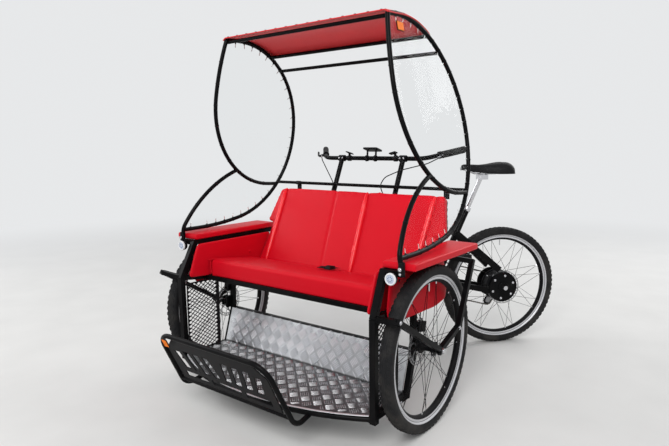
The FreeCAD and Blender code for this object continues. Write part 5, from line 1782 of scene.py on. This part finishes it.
CRANK_AT = (0.310, 0.390)
HUB_AT = (0.6875, 0.333)
JOCKEY_AT = (0.652, 0.226)


def belt_points(circles):
    """A closed taut line round circles (reach, height, radius), all turned the same way."""
    points = []
    count = len(circles)
    tangents = []
    for i in range(count):
        a, b = circles[i], circles[(i + 1) % count]
        gap = Vector((b[0] - a[0], b[1] - a[1]))
        angle = math.atan2(gap.y, gap.x)
        off = math.acos((a[2] - b[2]) / gap.length)
        tangents.append(angle - off)
    for i in range(count):
        reach, height, radius = circles[i]
        start, stop = tangents[i - 1], tangents[i]
        while stop < start:
            stop += 2 * math.pi
        steps = max(2, int((stop - start) * radius / 0.004))
        for k in range(steps + 1):
            t = start + (stop - start) * k / steps
            points.append(Vector((reach + radius * math.cos(t), height + radius * math.sin(t))))
    return points


class RICKSHAW_OT_drive(bpy.types.Operator):
    """Builds the chain's links, the chainring's teeth, the pedals' fittings, the derailleur and bolts"""

    bl_idname = "rickshaw.drive"
    bl_label = "Chain, cranks and brakes"

    def execute(self, context):
        self.chain()
        self.chainring()
        for name, _ in SIDES:
            self.pedal(name)
        self.derailleur()
        self.brakes()
        self.swingarm()
        return {"FINISHED"}

    def chain(self):
        circles = ((*CRANK_AT, 0.0925), (*JOCKEY_AT, 0.0245), (*HUB_AT, 0.0455))
        path = belt_points(circles)
        path.append(path[0])
        total = sum((b - a).length for a, b in zip(path, path[1:]))
        count = int(total / CHAIN_PITCH / 2) * 2
        spots = even(path, count + 1)[:-1]
        shell = Shell()
        for i, spot in enumerate(spots):
            after = spots[(i + 1) % count]
            way = (after - spot).normalized()
            up = Vector((-way.y, way.x))
            x_out = 0.0036 if i % 2 else 0.0024
            half = (after - spot).length / 2
            centre = (spot + after) / 2
            for sign in (-1, 1):
                outline = []
                for u, v in ((-1.35, -0.35), (-1.35, 0.35), (-1.0, 1), (-0.4, 0.72), (0.4, 0.72), (1.0, 1),
                             (1.35, 0.35), (1.35, -0.35), (1.0, -1), (0.4, -0.72), (-0.4, -0.72), (-1.0, -1)):
                    p = centre + way * (u * half) + up * (v * 0.0042)
                    outline.append(p)
                shell.skin([[rear(CHAIN_X + sign * (x_out + d), p.x, p.y) for p in outline]
                            for d in (-0.0005, 0.0005)])
            shell.sweep([rear(CHAIN_X - 0.0044, spot.x, spot.y), rear(CHAIN_X + 0.0044, spot.x, spot.y)],
                        0.0024, sides=8)
        shell.piece("chain_links", ["chain"], "rear_frame", "chain_steel", ["chain"], smooth=30)

    def chainring(self):
        """Teeth, bolts and the spider over the plain ring, drawn upright and set on the cranks' axle."""
        shell = Shell()
        toothed(shell, 0, 44, 0.0895, 0.0022, 0, bore=0.0745)
        for k in range(5):
            t = 2 * math.pi * (k + 0.5) / 5
            arm = [spun(-0.0045, r, t) for r in (0.014, 0.045, 0.078)]
            shell.sweep(arm, [0.011, 0.0075, 0.0062], sides=8, flat=0.5, up=(1, 0, 0), paint=1)
            spot = spun(-0.0065, 0.074, t)
            shell.turn([(0, 0.0058), (-0.0012, 0.0055), (-0.0018, 0.0035), (-0.0008, 0.0028),
                        (-0.0008, 0.0001)], Matrix.Translation(spot), steps=14, paint=2)
        piece = shell.piece("chainring_teeth", ["dull_steel", "satin", "steel"], "crankset",
                            "crank_black", smooth=35)
        move(piece, turned(rear(CHAIN_X, *CRANK_AT)) @ Matrix.Rotation(crank_turn(), 4, "X"))
        caps = Shell()
        radius = 0.0085
        for side in (-1, 1):
            base = basis(AXLE_WAY * side, (0, 0, 1), rear(side * 0.0905, *CRANK_AT))
            caps.turn([(0, radius * 1.3), (0.0016, radius * 1.25), (0.0022, radius * 0.9),
                       (0.0008, radius * 0.8), (0.0008, 0.0001)], base, steps=24)
        caps.piece("crank_caps", ["steel"], "crankset", "crank_black")

    def pedal(self, name):
        """The cage pedal's reflectors, side plates and pins, on its own body."""
        paint_node(f"pedal_{name}", "moulded", edge=0.0012)
        shell = Shell()
        m = turned(middle(f"pedal_{name}"))
        for end in (-1, 1):
            spot = m @ Matrix.Translation((0, end * 0.0455, 0))
            rim = soft_outline([Vector((a * 0.026, b * 0.0085)) for a, b in CORNERS], 0.003)
            rings = [[spot @ Vector((p.x * s, end * d, p.y * s)) for p in rim]
                     for s, d in ((1.0, -0.002), (1.0, 0.0012), (0.92, 0.0019))]
            shell.skin(rings, paint=0)
        for x in (-0.043, 0.043):
            for y in (-0.036, -0.018, 0.018, 0.036):
                for z in (-1, 1):
                    base = basis((0, 0, z), (1, 0, 0), m @ Vector((x, y, z * 0.012)))
                    shell.turn([(0, 0.0022), (0.0016, 0.0020), (0.0022, 0.0001)], base, steps=8, paint=1)
        shell.piece(f"pedal_{name}_fittings", ["amber", "steel"], f"pedal_{name}", "pedal_black")

    def derailleur(self):
        """Two jockey wheels in a cage with its knuckle and spring body."""
        shell = Shell()
        for reach, height, teeth in ((*JOCKEY_AT, 11), (0.671, 0.271, 11)):
            m = turned(rear(CHAIN_X, reach, height))
            wheel = Shell()
            toothed(wheel, 0, teeth, 0.0225 if height < 0.25 else 0.0175, 0.0028, 0, bore=0.004)
            shell.add([m @ p for p in wheel.points], wheel.faces, 1)
            shell.turn([(-0.008, 0.0001), (-0.008, 0.005), (0.008, 0.005), (0.008, 0.0001)], m, steps=14,
                       paint=2)
        for x in (-0.0078, 0.0070):
            a, b = rear(CHAIN_X + x, 0.650, 0.216), rear(CHAIN_X + x, 0.674, 0.283)
            shell.sweep([a, a.lerp(b, 0.15), a.lerp(b, 0.5), a.lerp(b, 0.85), b],
                        [0.010, 0.0155, 0.012, 0.0155, 0.010],
                        sides=12, flat=0.11, up=AXLE_WAY, paint=0)
        m = turned(rear(CHAIN_X - 0.0075, 0.676, 0.277))
        shell.turn([(0, 0.0001), (0, 0.014), (-0.003, 0.0165), (-0.014, 0.0165), (-0.017, 0.012),
                    (-0.017, 0.0001)], m, steps=24, paint=2)
        link = [rear(CHAIN_X - 0.018, 0.677, 0.279), rear(CHAIN_X - 0.018, 0.684, 0.300),
                rear(CHAIN_X - 0.016, 0.6875, 0.318)]
        shell.sweep(spline(link, 8), 0.0095, sides=10, flat=0.7, up=AXLE_WAY, paint=2)
        shell.piece("derailleur_built", ["dull_steel", "moulded", "alloy"], "rear_frame",
                    "brake_black", ["derailleur"], smooth=40, bevel=0.0004)

    def brakes(self):
        """Bolts on the three calipers."""
        for name in ("left", "right", "rear"):
            low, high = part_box(f"brake_caliper_{name}")
            centre = (low + high) / 2
            body = "rear_frame" if name == "rear" else "pod"
            paint_node(f"brake_caliper_{name}", "satin", edge=0.0025)
            shell = Shell()
            forward = REAR_WAY if name == "rear" else Vector((0, 1, 0))
            for k in (-1, 1):
                spot = centre + forward * (0.018 * k) + Vector((0, 0, high.z - centre.z - 0.004))
                shell.turn([(0, 0.0048), (0.004, 0.0048), (0.0048, 0.004), (0.0048, 0.0024), (0.002, 0.0024),
                            (0.002, 0.0001)], basis((0, 0, 1), (1, 0, 0), spot), steps=16, paint=1)
            shell.piece(f"brake_caliper_{name}_bolts", ["satin", "steel"], body, "brake_black")

    def swingarm(self):
        """Bolts and rings on the dropout plates."""
        shell = Shell()
        for side in (-1, 1):
            centre = rear(side * 0.0765, 0.676, 0.338)
            for k in range(6):
                t = 2 * math.pi * k / 6 + 0.35
                spot = centre + REAR_WAY * (0.064 * math.cos(t)) + Vector((0, 0, 0.064 * math.sin(t)))
                bolt(shell, spot, AXLE_WAY * side, 0.0045, 1)
            rim = basis(AXLE_WAY * side, REAR_WAY, centre)
            shell.turn([(0, 0.0825), (0.0012, 0.0815), (0.0012, 0.0770), (0, 0.0760)], rim, steps=64, paint=0)
            shell.turn([(0, 0.030), (0.0022, 0.029), (0.0022, 0.0205), (0.0, 0.020)], rim, steps=40, paint=0)
        shell.piece("dropout_bolts", ["paint", "steel"], "rear_frame", "frame_black")


def crank_turn():
    """How far the crank arms stand turned from upright about their axle."""
    pedal_at = middle("pedal_left") - rear(0, *CRANK_AT)
    return math.atan2(-pedal_at.dot(REAR_WAY), pedal_at.z)


# ---- panel and registration ----

OPERATORS = (RICKSHAW_OT_stage, RICKSHAW_OT_frame, RICKSHAW_OT_wheels, RICKSHAW_OT_seat, RICKSHAW_OT_arms,
             RICKSHAW_OT_canopy, RICKSHAW_OT_windows, RICKSHAW_OT_floor, RICKSHAW_OT_lamps,
             RICKSHAW_OT_fittings, RICKSHAW_OT_handlebar, RICKSHAW_OT_saddle, RICKSHAW_OT_drive)


class RICKSHAW_PT_panel(bpy.types.Panel):
    bl_label = "Cycle rickshaw"
    bl_idname = "RICKSHAW_PT_panel"
    bl_space_type = "VIEW_3D"
    bl_region_type = "UI"
    bl_category = "Rickshaw"

    def draw(self, context):
        layout = self.layout
        for settings in (context.scene.rickshaw_colours, context.scene.rickshaw_sizes):
            box = layout.box()
            for key in settings.__annotations__:
                box.prop(settings, key)
        for operator in OPERATORS:
            layout.operator(operator.bl_idname)


CLASSES = (RickshawColours, RickshawSizes, *OPERATORS, RICKSHAW_PT_panel)


def register():
    for cls in CLASSES:
        bpy.utils.register_class(cls)
    bpy.types.Scene.rickshaw_colours = PointerProperty(type=RickshawColours)
    bpy.types.Scene.rickshaw_sizes = PointerProperty(type=RickshawSizes)


def unregister():
    del bpy.types.Scene.rickshaw_sizes
    del bpy.types.Scene.rickshaw_colours
    for cls in reversed(CLASSES):
        bpy.utils.unregister_class(cls)


def main():
    register()
    for operator in OPERATORS:
        group_name, action = operator.bl_idname.split(".")
        if getattr(getattr(bpy.ops, group_name), action)() != {"FINISHED"}:
            raise RuntimeError(f"{operator.bl_label} did not finish")


if __name__ == "__main__":
    main()
